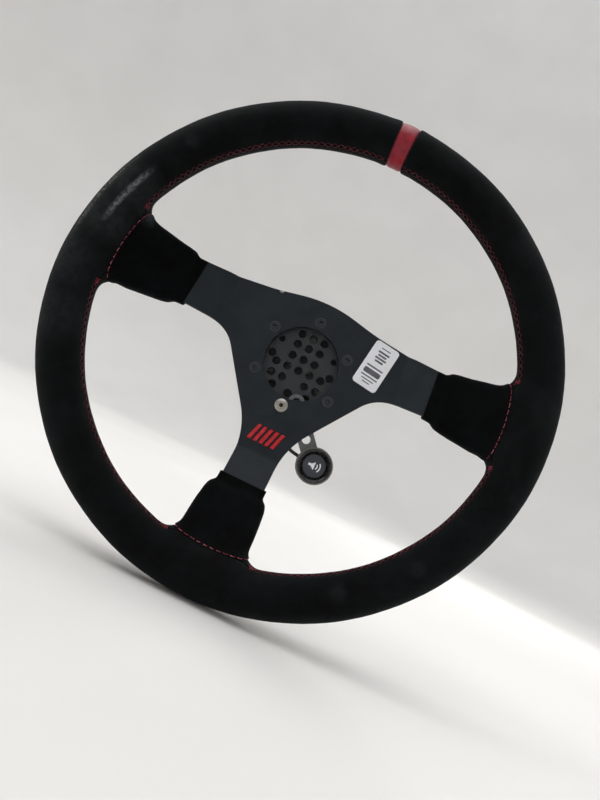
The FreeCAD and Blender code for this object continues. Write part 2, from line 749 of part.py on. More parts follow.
def button_bezel():
    """Black ring that sits in the cup and keeps the cap in."""
    outer = HOUSING_RADIUS - HOUSING_WALL
    inner = CAP_RADIUS + 0.2
    ring = drum(outer, BEZEL_BACK + 0.05, HOUSING_TOP - 0.3, BUTTON)
    tools = [drum(inner, BEZEL_BACK, HOUSING_TOP, BUTTON),
             cone(inner, outer - 0.8, HOUSING_TOP - 2.2, HOUSING_TOP - 0.2, BUTTON)]
    return cut_all(ring, tools)


def button_cap():
    """Cap that the driver presses, with its stop flange and stem."""
    bevel = 0.5
    cap = fuse([drum(CAP_RADIUS, BEZEL_BACK, CAP_TOP - bevel, BUTTON),
                cone(CAP_RADIUS, CAP_RADIUS - bevel, CAP_TOP - bevel, CAP_TOP, BUTTON),
                drum(CAP_RADIUS + 2.1, FLANGE_OF_CAP, BEZEL_BACK, BUTTON),
                drum(2.8, PLATE_BACK - 1.5, FLANGE_OF_CAP, BUTTON)])
    return cap.cut(drum(DISC_RADIUS, CAP_TOP - bevel, CAP_TOP, BUTTON))


def button_disc():
    """Printed disc let into the cap."""
    return drum(DISC_RADIUS, CAP_TOP - 0.5, CAP_TOP - 0.05, BUTTON)


def button_spring():
    """Spring under the cap's flange."""
    low = PLATE_BACK + HOUSING_FLOOR + 0.05
    return coil_spring(6.0, 0.3, low, FLANGE_OF_CAP - 0.05, 7, BUTTON)


def switch_body():
    """Micro switch in the neck of the housing."""
    shoulder = PLATE_BACK - 3.6
    return fuse([drum(SWITCH_RADIUS, NECK_END, shoulder, BUTTON),
                 drum(1.4, shoulder, shoulder + 0.4, BUTTON)])


def switch_terminals():
    """Two solder tags under the switch."""
    tags = []
    length = 4.5
    for offset in (-2.0, 2.0):
        corner = Vec(BUTTON.x + offset - 0.25, BUTTON.y - 1.2, NECK_END - length)
        tags.append(Part.makeBox(0.5, 2.4, length, corner))
    return Part.makeCompound(tags)


def button_washer():
    """Toothed lock washer under the strap."""
    low = STRAP_BACK - 0.8
    washer = tube(9.2, NECK_RADIUS, low, STRAP_BACK, BUTTON)
    notches = ring_of(drum(0.9, low, STRAP_BACK, Vec(0, 9.4, 0)), 10)
    for tool in notches:
        tool.translate(BUTTON)
    return cut_all(washer, notches)


def button_nut():
    """Thin hexagon nut on the neck."""
    top = STRAP_BACK - 0.8
    low = top - 3.4
    return hexagon(16.0, low, top, BUTTON).cut(drum(NECK_RADIUS, low, top, BUTTON))


def spout_direction():
    """Way out of the button's rubber cap, along the cable's first run."""
    away = CABLE_TURN - BUTTON - Vec(0, 0, CABLE_BUTTON_LEVEL)
    return away.normalize()


def spout_point(distance):
    """Point on the spout's axis at a distance from the button's axis."""
    return BUTTON + Vec(0, 0, CABLE_BUTTON_LEVEL) + spout_direction() * distance


def rear_boot():
    """Rubber cap over the switch, with a side spout for the cable."""
    low = 33.0
    high = 44.0
    inside = 35.0
    radius = 8.6
    cap = drum(radius, low + 1, high, BUTTON).fuse(cone(radius - 1, radius, low, low + 1, BUTTON))
    spout = Part.makeCone(3.2, ENTRY_RADIUS, SPOUT_END - SPOUT_START,
                          spout_point(SPOUT_START), spout_direction())
    tools = [drum(radius - 1.6, inside, NECK_END, BUTTON), drum(NECK_RADIUS, NECK_END, high, BUTTON)]
    return cut_all(fuse([cap, spout]), tools)


# ----------------------------------------------------------------- held cable

def cable_route():
    """Points of the cable from the spout to the hub's grommet."""
    return [spout_point(SPOUT_END),
            CABLE_TURN,
            Vec(14.2, -57.2, 38.9),
            at_clock(51.0, CABLE_ENTRY_CLOCK, CABLE_LEVEL),
            at_clock(GROMMET_END, CABLE_ENTRY_CLOCK, CABLE_LEVEL)]


def tube_along(points, radius):
    """Round tube along straight runs joined by the largest tangent arcs."""
    edges = []
    here = points[0]
    for before, corner, after in zip(points, points[1:], points[2:]):
        back = before - corner
        ahead = after - corner
        half = back.getAngle(ahead) / 2
        reach = 0.45 * min(back.Length, ahead.Length)
        bend = reach * math.tan(half)
        print("cable arc radius %.1f mm" % bend)
        back.normalize()
        ahead.normalize()
        middle = corner + (back + ahead).normalize() * (bend / math.sin(half) - bend)
        edges.append(Part.LineSegment(here, corner + back * reach).toShape())
        edges.append(Part.Arc(corner + back * reach, middle, corner + ahead * reach).toShape())
        here = corner + ahead * reach
    edges.append(Part.LineSegment(here, points[-1]).toShape())
    path = Part.Wire(edges)
    direction = points[1] - points[0]
    section = Part.Wire([Part.makeCircle(radius, points[0], direction)])
    pipe = path.makePipeShell([section], True, False)
    print("cable length %.1f mm, volume ratio %.4f"
          % (path.Length, pipe.Volume / (math.pi * radius ** 2 * path.Length)))
    return pipe


def button_cable():
    """Two-core cable held between the button and the hub."""
    return tube_along(cable_route(), CABLE_RADIUS)


def cable_grommet():
    """Rubber grommet in the side of the hub flange."""
    plug = entry_hole(ENTRY_RADIUS, CHAMBER_RADIUS + 2, FLANGE_RADIUS + 0.1)
    flange = entry_hole(3.8, FLANGE_RADIUS + 0.1, GROMMET_END)
    return fuse([plug, flange])


# ------------------------------------------------------------ marks and labels

def spoke_badge():
    """Row of raised slanted bars on the lower spoke."""
    count = 5
    stroke = 3.0
    slant = 4.0
    step = (BADGE_WIDTH - stroke - slant) / (count - 1)
    half = BADGE_HEIGHT / 2
    bars = []
    for i in range(count):
        left = -BADGE_WIDTH / 2 + step * i
        outline = [(left + slant, half), (left + slant + stroke, half),
                   (left + stroke, -half), (left, -half)]
        corners = [Vec(x, BADGE_LEVEL + y, PLATE_FRONT) for x, y in outline]
        bar = prism(Part.makePolygon(corners + corners[:1]), BADGE_THICKNESS)
        tops = [e for e in bar.Edges if e.BoundBox.ZMin > PLATE_FRONT + BADGE_THICKNESS / 2]
        bars.append(bar.makeChamfer(0.3, tops))
    return Part.makeCompound(bars)


def data_label():
    """Thin sticker on the root of the right spoke."""
    corners = []
    for across, up in ((-1, -1), (1, -1), (1, 1), (-1, 1)):
        point = Vec(across * LABEL_WIDTH / 2, up * LABEL_LENGTH / 2, PLATE_FRONT)
        corners.append((point, 2.6))
    label = turned(prism(rounded_wire(corners), LABEL_THICKNESS), LABEL_LEAN)
    label.translate(LABEL_CENTRE)
    return label


# -------------------------------------------------------------------- assembly

def write_node(name, shape):
    """Turn a shape into the row's frame, check it and write its STEP file."""
    shape = shape.copy()
    shape.rotate(CENTRE, Vec(1, 0, 0), 90)
    if len(shape.Solids) == 0 or not shape.isValid():
        print("PROBLEM in", name, "solids", len(shape.Solids), "valid", shape.isValid())
    shape.exportStep("parts/%s.step" % name)
    print("%-22s %2d solids %9.1f mm3" % (name, len(shape.Solids), shape.Volume))


def main():
    os.makedirs("parts", exist_ok=True)
    plate = spoke_plate()
    core = rim_core()
    rivets = rim_rivets()
    nodes = {
        "spoke_plate": plate,
        "rim_core": core,
        "rim_rivets": rivets,
        "rim_foam": rim_foam(plate, core, rivets),
        "rim_cover": rim_cover(),
        "top_mark_band": top_mark_band(),
        "plate_screws": plate_screws(),
        "strap_screw": strap_screw(),
        "vent_plate": vent_plate(),
        "hub_barrel": hub_barrel(),
        "hub_flange": hub_flange(),
        "release_collar": release_collar(),
        "collar_spring": collar_spring(),
        "stop_ring": stop_ring(),
        "drive_ring": drive_ring(),
        "drive_pins": drive_pins(),
        "drive_ring_clip": drive_ring_clip(),
        "contact_block": contact_block(),
        "contact_block_screws": contact_block_screws(),
        "contact_terminals": contact_terminals(),
        "button_strap": button_strap(),
        "button_housing": button_housing(),
        "button_bezel": button_bezel(),
        "button_cap": button_cap(),
        "button_disc": button_disc(),
        "button_spring": button_spring(),
        "switch_body": switch_body(),
        "switch_terminals": switch_terminals(),
        "button_washer": button_washer(),
        "button_nut": button_nut(),
        "rear_boot": rear_boot(),
        "button_cable": button_cable(),
        "cable_grommet": cable_grommet(),
        "spoke_badge": spoke_badge(),
        "data_label": data_label(),
    }
    for side in SPOKE_CLOCKS:
        nodes["spoke_boot_" + side] = boot(side, plate)
    for number in range(BALL_COUNT):
        nodes["lock_ball_%d" % (number + 1)] = lock_ball(number)
    for number, place in enumerate(contact_places()):
        nodes["contact_pin_%d" % (number + 1)] = contact_pin(place)
        nodes["contact_spring_%d" % (number + 1)] = contact_spring(place)
    for name, shape in nodes.items():
        write_node(name, shape)


main()
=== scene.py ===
import math

import bmesh
import bpy
import numpy as np
from mathutils import Matrix, Vector


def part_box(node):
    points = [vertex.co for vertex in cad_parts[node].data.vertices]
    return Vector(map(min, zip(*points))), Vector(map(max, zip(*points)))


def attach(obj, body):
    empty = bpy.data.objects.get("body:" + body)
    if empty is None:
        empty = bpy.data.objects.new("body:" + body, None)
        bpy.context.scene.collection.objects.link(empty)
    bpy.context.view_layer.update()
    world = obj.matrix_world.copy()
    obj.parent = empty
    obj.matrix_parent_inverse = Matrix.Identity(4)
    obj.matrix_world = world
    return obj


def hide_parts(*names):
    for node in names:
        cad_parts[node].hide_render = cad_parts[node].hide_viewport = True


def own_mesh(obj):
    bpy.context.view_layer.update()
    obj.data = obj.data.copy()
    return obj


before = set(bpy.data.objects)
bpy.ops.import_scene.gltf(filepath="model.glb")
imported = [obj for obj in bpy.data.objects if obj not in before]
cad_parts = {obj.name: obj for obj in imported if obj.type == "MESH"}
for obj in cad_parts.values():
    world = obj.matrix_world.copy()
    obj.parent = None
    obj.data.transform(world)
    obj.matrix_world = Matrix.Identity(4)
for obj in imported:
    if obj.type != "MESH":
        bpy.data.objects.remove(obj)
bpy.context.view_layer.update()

# Looks of the quick release steering wheel, built round its CAD frame.
#
# Shapes are worked out in wheel millimetres: x to the driver's right, y up towards
# twelve o'clock, z along the column towards the driver.  place() turns them into the
# row's frame in metres.  Clock angles run clockwise as the driver sees them, and a
# tube angle runs round the grip from its innermost line towards the driver.

MM = 0.001


# ------------------------------------------------------------ sizes from the frame

def wheel_box(node):
    """Lowest and highest corner of a CAD node in wheel millimetres."""
    low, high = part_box(node)
    return (np.array([low.x, low.z, -high.y]) / MM, np.array([high.x, high.z, -low.y]) / MM)


RIM_LOW, RIM_HIGH = wheel_box("rim_cover")
GRIP_RADIUS = (RIM_HIGH[2] - RIM_LOW[2]) / 2
RIM_RADIUS = RIM_HIGH[0] - GRIP_RADIUS
RIM_LEVEL = (RIM_HIGH[2] + RIM_LOW[2]) / 2
BAND_LOW, BAND_HIGH = wheel_box("top_mark_band")
BAND_HALF = BAND_HIGH[0]
BAND_RADIUS = (BAND_HIGH[2] - BAND_LOW[2]) / 2
LEATHER = 0.65                          # thickness of the twelve o'clock band
SHEET = 4.0                             # thickness of the spoke plate
SPOKE_TIP_LEVEL = wheel_box("spoke_plate")[1][2]
PLATE_FRONT = wheel_box("data_label")[0][2]
BUTTON = sum(wheel_box("button_disc")) / 2
BUTTON_TOP = wheel_box("button_disc")[1][2]

# Spokes and their boots
SPOKE_CLOCKS = {"right": 85.0, "left": -85.0, "bottom": 180.0}
BEND = (75.0, PLATE_FRONT - SHEET / 2)  # distance out and mid level of the sheet at the bend
TIP = (146.0, SPOKE_TIP_LEVEL - SHEET / 2)  # the same at the start of the flat tip
LEAN = {"right": -1.0, "left": 1.0, "bottom": 0.0}
DRIFT = {"at": (96, 104, 118, 131, 143, 152), "is": (9.8, 7.6, 4.6, 2.4, 1.4, 0.8)}
WIDTH = {"at": (104, 110, 118, 131, 150), "bottom": (21.2, 22.9, 23.9, 24.5, 25.0),
         "side": (21.0, 22.2, 23.2, 25.0, 27.0)}
HEIGHT = {"at": (104, 118, 131, 143, 152), "is": (6.2, 7.6, 8.9, 9.5, 9.0)}
CUFF_WIDTH = {"bottom": 18.1, "side": 18.6}
CUFF_HEIGHT = 3.9
CUFF_START = 96.5
BOOT_START = 103.2
BOOT_END = 153.0                        # inside the grip
FILLET = 13.0                           # how softly a boot runs into the grip
ROOT_ROUNDING = 0.84                    # corner radius of a boot as a share of its half height
ROOT_STEP = 4.5                         # how softly a boot drops to its cuff
CUFF_ROUNDING = 2.6
CUFF_FILLET = 2.0
END_SOFTNESS = 6.0
TIP_SLOPE = 0.12                        # rise of a boot's middle line inside the grip
TIP_SLOPE_START = 131.0
SEAM_RADIUS = 140.6                     # stitched arc between boot and rim
SEAM_TUCK = 139.6                       # the rim's suede ends under the boot's lip

# Stitching
SEAM_ANGLE = math.radians(9.5)          # tube angle of the rim's long seam
ROW_ANGLE = math.radians(8.5)           # each row of holes from the seam
STITCH_PITCH = 4.6
THREAD_RADIUS = 0.27
DASH_RADIUS = 0.27
DASH_LENGTH = 3.3
DASH_PITCH = 4.8
DASH_ARCH = 0.95                        # height of a dash at its middle, before it is sunk
DASH_SINK = 0.60
STITCH_ARCH = 0.75
STITCH_SINK = 0.35
CROSS_LIFT = 0.30                       # how much the upper thread clears the lower
KNOT_ARCH = 0.85
KNOT_SINK = 0.15
KNOT_CLOCK = math.radians(12.2)         # from a spoke's middle to the end of a seam
KNOT_WRAPS = 4
KNOT_PITCH = 0.7
THREAD_TWIST = 2.4                      # radians of twist for each millimetre
DASH_TWIST = 2.2


def place(points):
    """Wheel millimetres to the row's frame in metres."""
    points = np.asarray(points, float)
    return np.stack([points[..., 0], -points[..., 2], points[..., 1]], -1) * MM


# ---------------------------------------------------------- the padded surface

def smooth_min(first, second, reach):
    """Smaller of two distances, with a rounded valley where they are alike."""
    share = np.clip(reach - np.abs(first - second), 0, None) / reach
    return np.minimum(first, second) - share * share * reach / 4


def box_distance(across, up, half_width, half_height, corner):
    """Distance to a rounded rectangle."""
    side = np.abs(across) - (half_width - corner)
    top = np.abs(up) - (half_height - corner)
    outside = np.hypot(np.maximum(side, 0), np.maximum(top, 0))
    return outside + np.minimum(np.maximum(side, top), 0) - corner


def spoke_axes(side):
    """Unit vectors out along a spoke and across it."""
    clock = math.radians(SPOKE_CLOCKS[side])
    return (np.array([math.sin(clock), math.cos(clock)]),
            np.array([math.cos(clock), -math.sin(clock)]))


def boot_centre(out, side):
    """Sideways place and level of a boot's middle line at a distance out."""
    slope = (TIP[1] - BEND[1]) / (TIP[0] - BEND[0])
    level = BEND[1] + slope * (np.clip(out, BEND[0], TIP[0]) - BEND[0])
    level = level + TIP_SLOPE * np.maximum(out - TIP_SLOPE_START, 0)
    return LEAN[side] * np.interp(out, DRIFT["at"], DRIFT["is"]), level


def boot_distance(points, side):
    """Distance to one boot, its padded root and its thin cuff."""
    outward, sideways = spoke_axes(side)
    out = points[..., :2] @ outward
    across, level = boot_centre(out, side)
    across = points[..., :2] @ sideways - across
    up = points[..., 2] - level
    kind = "bottom" if side == "bottom" else "side"
    width = np.interp(out, WIDTH["at"], WIDTH[kind])
    height = np.interp(out, HEIGHT["at"], HEIGHT["is"])
    root = box_distance(across, up, width, height, ROOT_ROUNDING * height)
    root = -smooth_min(-root, out - BOOT_START, ROOT_STEP)
    cuff = box_distance(across, up, CUFF_WIDTH[kind], CUFF_HEIGHT, CUFF_ROUNDING)
    cuff = np.maximum(cuff, CUFF_START - 3 - out)
    return -smooth_min(-smooth_min(root, cuff, CUFF_FILLET), BOOT_END - out, END_SOFTNESS)


def grip_distance(points):
    """Distance to the plain round grip."""
    reach = np.hypot(points[..., 0], points[..., 1]) - RIM_RADIUS
    return np.hypot(reach, points[..., 2] - RIM_LEVEL) - GRIP_RADIUS


def padded_distance(points):
    """Distance to the whole padded body: grip and boots run together."""
    distance = grip_distance(points)
    for side in SPOKE_CLOCKS:
        distance = smooth_min(distance, boot_distance(points, side), FILLET)
    return distance


def first_crossing(distance_at, reach, steps=44):
    """Distance along each ray to where a surface is first crossed."""
    shape = distance_at(np.zeros(1)).shape
    low = np.zeros(shape)
    high = np.full(shape, reach)
    found = np.zeros(shape, bool)
    for i in range(1, steps + 1):
        here = reach * i / steps
        outside = distance_at(np.full(1, here)) > 0
        new = outside & ~found
        high[new] = here
        found |= outside
        low[~found] = here
    for _ in range(16):
        middle = (low + high) / 2
        outside = distance_at(middle) > 0
        high = np.where(outside, middle, high)
        low = np.where(outside, low, middle)
    return (low + high) / 2


def grip_ray(clock, angle, along):
    """Points on rays from the grip's centre line."""
    clock, angle, along = np.broadcast_arrays(clock, angle, along)
    radius = RIM_RADIUS - along * np.cos(angle)
    return np.stack([radius * np.sin(clock), radius * np.cos(clock),
                     RIM_LEVEL + along * np.sin(angle)], -1)


def ripple(first, second):
    """Slow unevenness of hand-fitted suede, in millimetres."""
    return (0.10 * np.sin(5.0 * first + 1.7 * np.sin(second))
            + 0.03 * np.sin(17.0 * first - 2.0 * second + 1.0)
            + 0.02 * np.sin(41.0 * first + 3.0 * second))


def seam_groove(clock, angle):
    """How far the suede is drawn in along the long seam and round its stitch holes."""
    beside = np.abs((angle - SEAM_ANGLE + math.pi) % (2 * math.pi) - math.pi)
    turn = 0.5 + 0.5 * np.cos(2 * math.pi * clock * RIM_RADIUS / STITCH_PITCH)
    groove = 0.7 * np.exp(-(beside * GRIP_RADIUS / 0.8) ** 2)
    holes = 0.25 * np.exp(-((beside - ROW_ANGLE) * GRIP_RADIUS / 1.0) ** 2) * turn
    return groove + holes


def grip_offset(clock, angle):
    """Small shape of the rim's suede on top of the padded body."""
    arc = np.abs(clock) * RIM_RADIUS - BAND_HALF
    puff = 0.28 * np.exp(-((arc - 3.0) / 3.5) ** 2) - 0.5 * np.exp(-(arc / 0.6) ** 2)
    return ripple(clock * 3, angle) + puff - seam_groove(clock, angle)


def grip_surface(clock, angle, lift=0.0):
    """Points on the rim's suede, with its groove at the boots' seams."""
    offset = grip_offset(clock, angle) + lift

    def distance(along):
        points = grip_ray(clock, angle, along)
        radius = np.hypot(points[..., 0], points[..., 1])
        tuck = 0.45 * np.exp(-((radius - SEAM_RADIUS) / 1.5) ** 2)
        return np.maximum(padded_distance(points) - offset + tuck, SEAM_TUCK - radius)

    return grip_ray(clock, angle, first_crossing(distance, 42.0))


# ------------------------------------------------------------------ mesh helpers

def new_piece(name, points, faces, smooth=True):
    """Object from wheel-millimetre points and faces."""
    mesh = bpy.data.meshes.new(name)
    mesh.from_pydata(place(points).tolist(), [], [list(map(int, face)) for face in faces])
    mesh.validate()
    mesh.update()
    mesh.polygons.foreach_set("use_smooth", [smooth] * len(mesh.polygons))
    piece = bpy.data.objects.new(name, mesh)
    bpy.context.scene.collection.objects.link(piece)
    return piece


def outwards(piece, weld=0.0):
    """Turn a closed piece's faces outwards, with points nearer than weld metres made one."""
    work = bmesh.new()
    work.from_mesh(piece.data)
    if weld:
        bmesh.ops.remove_doubles(work, verts=work.verts, dist=weld)
    bmesh.ops.recalc_face_normals(work, faces=work.faces)
    work.to_mesh(piece.data)
    work.free()
    return piece


def skin(rings, close_ends=True):
    """Faces over rings of points, each ring closed, with a fan at each end."""
    rings = np.asarray(rings)
    count, around = rings.shape[:2]
    index = np.arange(count * around).reshape(count, around)
    ahead = np.roll(index, -1, axis=1)
    faces = np.stack([index[:-1], ahead[:-1], ahead[1:], index[1:]], -1).reshape(-1, 4).tolist()
    points = rings.reshape(-1, 3)
    if close_ends:
        middles = [rings[0].mean(0), rings[-1].mean(0)]
        for ring, centre in ((0, len(points)), (count - 1, len(points) + 1)):
            for a, b in zip(index[ring], ahead[ring]):
                faces.append([centre, b, a] if ring == 0 else [centre, a, b])
        points = np.vstack([points, middles])
    return points, faces


def join(parts):
    """One set of points and faces from several."""
    points = []
    faces = []
    total = 0
    for part_points, part_faces in parts:
        points.append(part_points)
        faces += [[i + total for i in face] for face in part_faces]
        total += len(part_points)
    return np.vstack(points), faces


def cord_rings(path, radius, normal, sides=8, plies=0, twist=0.0):
    """Rings of a round or plied thread along a path, square to it."""
    path = np.asarray(path, float)
    tangent = np.gradient(path, axis=0)
    tangent /= np.linalg.norm(tangent, axis=1)[:, None]
    up = np.broadcast_to(np.asarray(normal, float), path.shape)
    across = np.cross(tangent, up)
    across /= np.linalg.norm(across, axis=1)[:, None]
    up = np.cross(across, tangent)
    length = np.r_[0, np.cumsum(np.linalg.norm(np.diff(path, axis=0), axis=1))]
    turn = np.arange(sides) * 2 * math.pi / sides
    swell = 1 + 0.16 * np.cos(plies * (turn[None] + twist * length[:, None])) if plies else 1.0
    radii = np.broadcast_to(np.asarray(radius, float), len(path))[:, None] * swell
    return (path[:, None] + radii[..., None] * (np.cos(turn)[None, :, None] * across[:, None]
            + np.sin(turn)[None, :, None] * up[:, None]))


def outline_prism(outline, low, high):
    """Flat shape between two levels from its outline, counter-clockwise."""
    outline = np.asarray(outline, float)
    count = len(outline)
    bottom = np.c_[outline, np.full(count, low)]
    top = np.c_[outline, np.full(count, high)]
    faces = [list(range(count))[::-1], list(range(count, 2 * count))]
    faces += [[i, (i + 1) % count, count + (i + 1) % count, count + i] for i in range(count)]
    return np.vstack([bottom, top]), faces


# -------------------------------------------------------------------- materials

class Finish:
    """A procedural material: one principled shader and the nodes that feed it."""

    def __init__(self, name, colour, roughness, metallic=0.0, **constants):
        self.material = bpy.data.materials.new(name)
        self.material.use_nodes = True
        self.tree = self.material.node_tree
        self.shader = self.tree.nodes["Principled BSDF"]
        self.shader.inputs["Base Color"].default_value = (*colour, 1)
        self.shader.inputs["Roughness"].default_value = roughness
        self.shader.inputs["Metallic"].default_value = metallic
        for socket, value in constants.items():
            self.shader.inputs[socket.replace("_", " ")].default_value = value
        self.colour = colour
        self.coordinates = self.node("ShaderNodeTexCoord").outputs["Object"]

    def node(self, kind, **settings):
        made = self.tree.nodes.new(kind)
        for key, value in settings.items():
            setattr(made, key, value)
        return made

    def feed(self, socket, value):
        """Link an output, or set a constant, on an input socket."""
        if isinstance(value, bpy.types.NodeSocket):
            self.tree.links.new(value, socket)
        elif isinstance(value, tuple) and len(value) == 3 and socket.type == "RGBA":
            socket.default_value = (*value, 1)
        else:
            socket.default_value = value

    def noise(self, size, detail=3.0, roughness=0.55, stretch=(1, 1, 1), distortion=0.0):
        """Noise whose features are about size millimetres."""
        mapping = self.node("ShaderNodeMapping")
        self.feed(mapping.inputs["Vector"], self.coordinates)
        self.feed(mapping.inputs["Scale"], tuple(stretch))
        made = self.node("ShaderNodeTexNoise")
        self.feed(made.inputs["Vector"], mapping.outputs[0])
        self.feed(made.inputs["Scale"], 1 / (size * MM))
        self.feed(made.inputs["Detail"], detail)
        self.feed(made.inputs["Roughness"], roughness)
        self.feed(made.inputs["Distortion"], distortion)
        return made.outputs["Fac"]

    def cells(self, size, feature="F1"):
        """Cell pattern whose cells are about size millimetres."""
        made = self.node("ShaderNodeTexVoronoi", feature=feature)
        self.feed(made.inputs["Vector"], self.coordinates)
        self.feed(made.inputs["Scale"], 1 / (size * MM))
        return made.outputs["Distance"]

    def maths(self, operation, first, second=0.5, clamp=False):
        made = self.node("ShaderNodeMath", operation=operation, use_clamp=clamp)
        self.feed(made.inputs[0], first)
        self.feed(made.inputs[1], second)
        return made.outputs[0]

    def range(self, value, start, end, low=0.0, high=1.0):
        """Value carried smoothly from start..end to low..high."""
        made = self.node("ShaderNodeMapRange", interpolation_type="SMOOTHSTEP")
        for socket, number in zip(made.inputs[:5], (value, start, end, low, high)):
            self.feed(socket, number)
        return made.outputs[0]

    def mix(self, share, first, second):
        """Blend of two colours."""
        made = self.node("ShaderNodeMix", data_type="RGBA")
        self.feed(made.inputs["Factor"], share)
        self.feed(made.inputs[6], first)
        self.feed(made.inputs[7], second)
        return made.outputs[2]

    def spot(self, point, reach, inner=0.2):
        """One at a point of the row's frame, falling to nothing at reach millimetres."""
        made = self.node("ShaderNodeVectorMath", operation="DISTANCE")
        self.feed(made.inputs[0], self.coordinates)
        self.feed(made.inputs[1], tuple(float(v) for v in point))
        return self.range(made.outputs["Value"], reach * MM, reach * inner * MM)

    def ring(self, radius, width):
        """One on a circle round the column's axis, nothing width millimetres from it."""
        flat = self.node("ShaderNodeVectorMath", operation="MULTIPLY")
        self.feed(flat.inputs[0], self.coordinates)
        self.feed(flat.inputs[1], (1.0, 0.0, 1.0))
        made = self.node("ShaderNodeVectorMath", operation="LENGTH")
        self.feed(made.inputs[0], flat.outputs[0])
        away = self.maths("ABSOLUTE", self.maths("SUBTRACT", made.outputs["Value"], radius * MM))
        return self.range(away, width * MM, 0.0)

    def paint(self, colour=None, roughness=None):
        if colour is not None:
            self.feed(self.shader.inputs["Base Color"], colour)
        if roughness is not None:
            self.feed(self.shader.inputs["Roughness"], roughness)

    def bump(self, height, distance, strength=1.0, under=None):
        """Bump of a height pattern, distance in millimetres, laid over another."""
        made = self.node("ShaderNodeBump")
        self.feed(made.inputs["Height"], height)
        self.feed(made.inputs["Distance"], distance * MM)
        self.feed(made.inputs["Strength"], strength)
        if under is not None:
            self.feed(made.inputs["Normal"], under)
        self.feed(self.shader.inputs["Normal"], made.outputs[0])
        return made.outputs[0]


def scaled(colour, factor):
    """Colour made lighter or darker."""
    return tuple(min(1.0, c * factor) for c in colour)


def grip_point(clock, angle):
    """Point of the row's frame on the grip, at clock and tube angles in degrees."""
    clock = math.radians(clock)
    return place(grip_ray(clock, math.radians(angle), GRIP_RADIUS))


def suede(name, marks, highlight_streaks=(), depth=1.0):
    """Napped black suede, mottled, made lighter and glossier at the marks, which stand for hand wear
    and for painted sheen, and with painted highlight lines along circles where highlight lines are
    given.
    """
    finish = Finish(name, (0.003, 0.0033, 0.0036), 0.9, Sheen_Weight=0.035 * depth,
                    Sheen_Roughness=0.5, Sheen_Tint=(0.72, 0.80, 0.86, 1),
                    Specular_IOR_Level=0.10 * depth)
    broad = finish.noise(34, 4, 0.6, distortion=0.6)
    patches = finish.noise(7, 4, 0.65, distortion=0.4)
    nap = finish.noise(0.9, 3, 0.7)
    fibre = finish.noise(0.32, 2, 0.6, stretch=(1, 0.35, 1))
    tone = finish.maths("ADD", finish.range(broad, 0.35, 0.7, 0, 0.55),
                        finish.range(patches, 0.4, 0.72, 0, 0.35))
    tone = finish.maths("ADD", tone, finish.range(nap, 0.35, 0.7, -0.12, 0.16), clamp=True)
    colour = finish.mix(tone, scaled((0.0006, 0.0007, 0.0008), depth),
                        scaled((0.0046, 0.0057, 0.0066), depth))
    hue = finish.noise(15, 2, 0.5)
    colour = finish.mix(finish.range(hue, 0.5, 0.75, 0, 0.5), colour, (0.0012, 0.0040, 0.0038))
    wear_and_sheen = None
    for point, reach, strength in marks:
        spot = finish.maths("MULTIPLY", finish.spot(point, reach), strength)
        wear_and_sheen = spot if wear_and_sheen is None else finish.maths("MAXIMUM", wear_and_sheen, spot)
    broken = finish.range(finish.noise(5, 4, 0.6), 0.3, 0.62, 0.45, 1.0)
    wear_and_sheen = finish.maths("MULTIPLY", wear_and_sheen, broken, clamp=True)
    # Worn spots made lighter: partly hand wear, partly painted sheen.
    colour = finish.mix(finish.maths("MULTIPLY", wear_and_sheen, 0.85), colour, (0.030, 0.033, 0.036))
    # Painted highlights: pale lines along circles round the column, broken by noise, mixed into the
    # colour and the gloss.
    for point, reach, radius, width, pale in highlight_streaks:
        line = finish.maths("MULTIPLY", finish.spot(point, reach, 0.3),
                            finish.ring(radius, width))
        grain = finish.range(finish.noise(2.4, 4, 0.75), 0.36, 0.66, 0.12, 1.0)
        line = finish.maths("MULTIPLY", line, grain)
        colour = finish.mix(line, colour, pale)
        wear_and_sheen = finish.maths("MAXIMUM", wear_and_sheen, line)
    rough = finish.range(wear_and_sheen, 0.0, 1.0, 0.93, 0.30)
    finish.paint(colour, rough)
    under = finish.bump(patches, 0.35, 0.35)
    under = finish.bump(nap, 0.16, 0.7, under)
    finish.bump(fibre, 0.10, finish.range(wear_and_sheen, 0.0, 0.9, 0.8, 0.12), under)
    return finish.material


def leather():
    """Smooth red leather, darker in its grain and lighter and darker in patches of wear."""
    red = (0.225, 0.008, 0.020)
    finish = Finish("red_band_leather", red, 0.42, Specular_IOR_Level=0.28, Coat_Weight=0.05,
                    Coat_Roughness=0.35)
    grain = finish.cells(0.55)
    wear = finish.noise(4, 4, 0.6)
    colour = finish.mix(finish.range(wear, 0.35, 0.75), scaled(red, 0.82), scaled(red, 1.35))
    colour = finish.mix(finish.range(grain, 0.0, 0.55, 0.35, 0), colour, scaled(red, 0.5))
    finish.paint(colour, finish.range(wear, 0.3, 0.7, 0.48, 0.34))
    under = finish.bump(grain, 0.05, 0.6)
    finish.bump(finish.noise(2.5, 3), 0.10, 0.4, under)
    return finish.material


def thread(name, red, worn_and_highlight_red):
    """Polyester thread, red, paler in patches, partly wear and partly painted highlight."""
    finish = Finish(name, red, 0.6, Sheen_Weight=0.03, Sheen_Roughness=0.4,
                    Sheen_Tint=(1.0, 0.75, 0.75, 1), Specular_IOR_Level=0.22)
    wear_and_highlight = finish.noise(2.2, 3, 0.6)
    # Paler patches: partly wear, partly painted highlight on the thread.
    colour = finish.mix(finish.range(wear_and_highlight, 0.42, 0.7), scaled(red, 0.75), worn_and_highlight_red)
    finish.paint(colour, finish.range(wear_and_highlight, 0.3, 0.7, 0.62, 0.5))
    finish.bump(finish.noise(0.12, 2), 0.03, 0.6)
    return finish.material


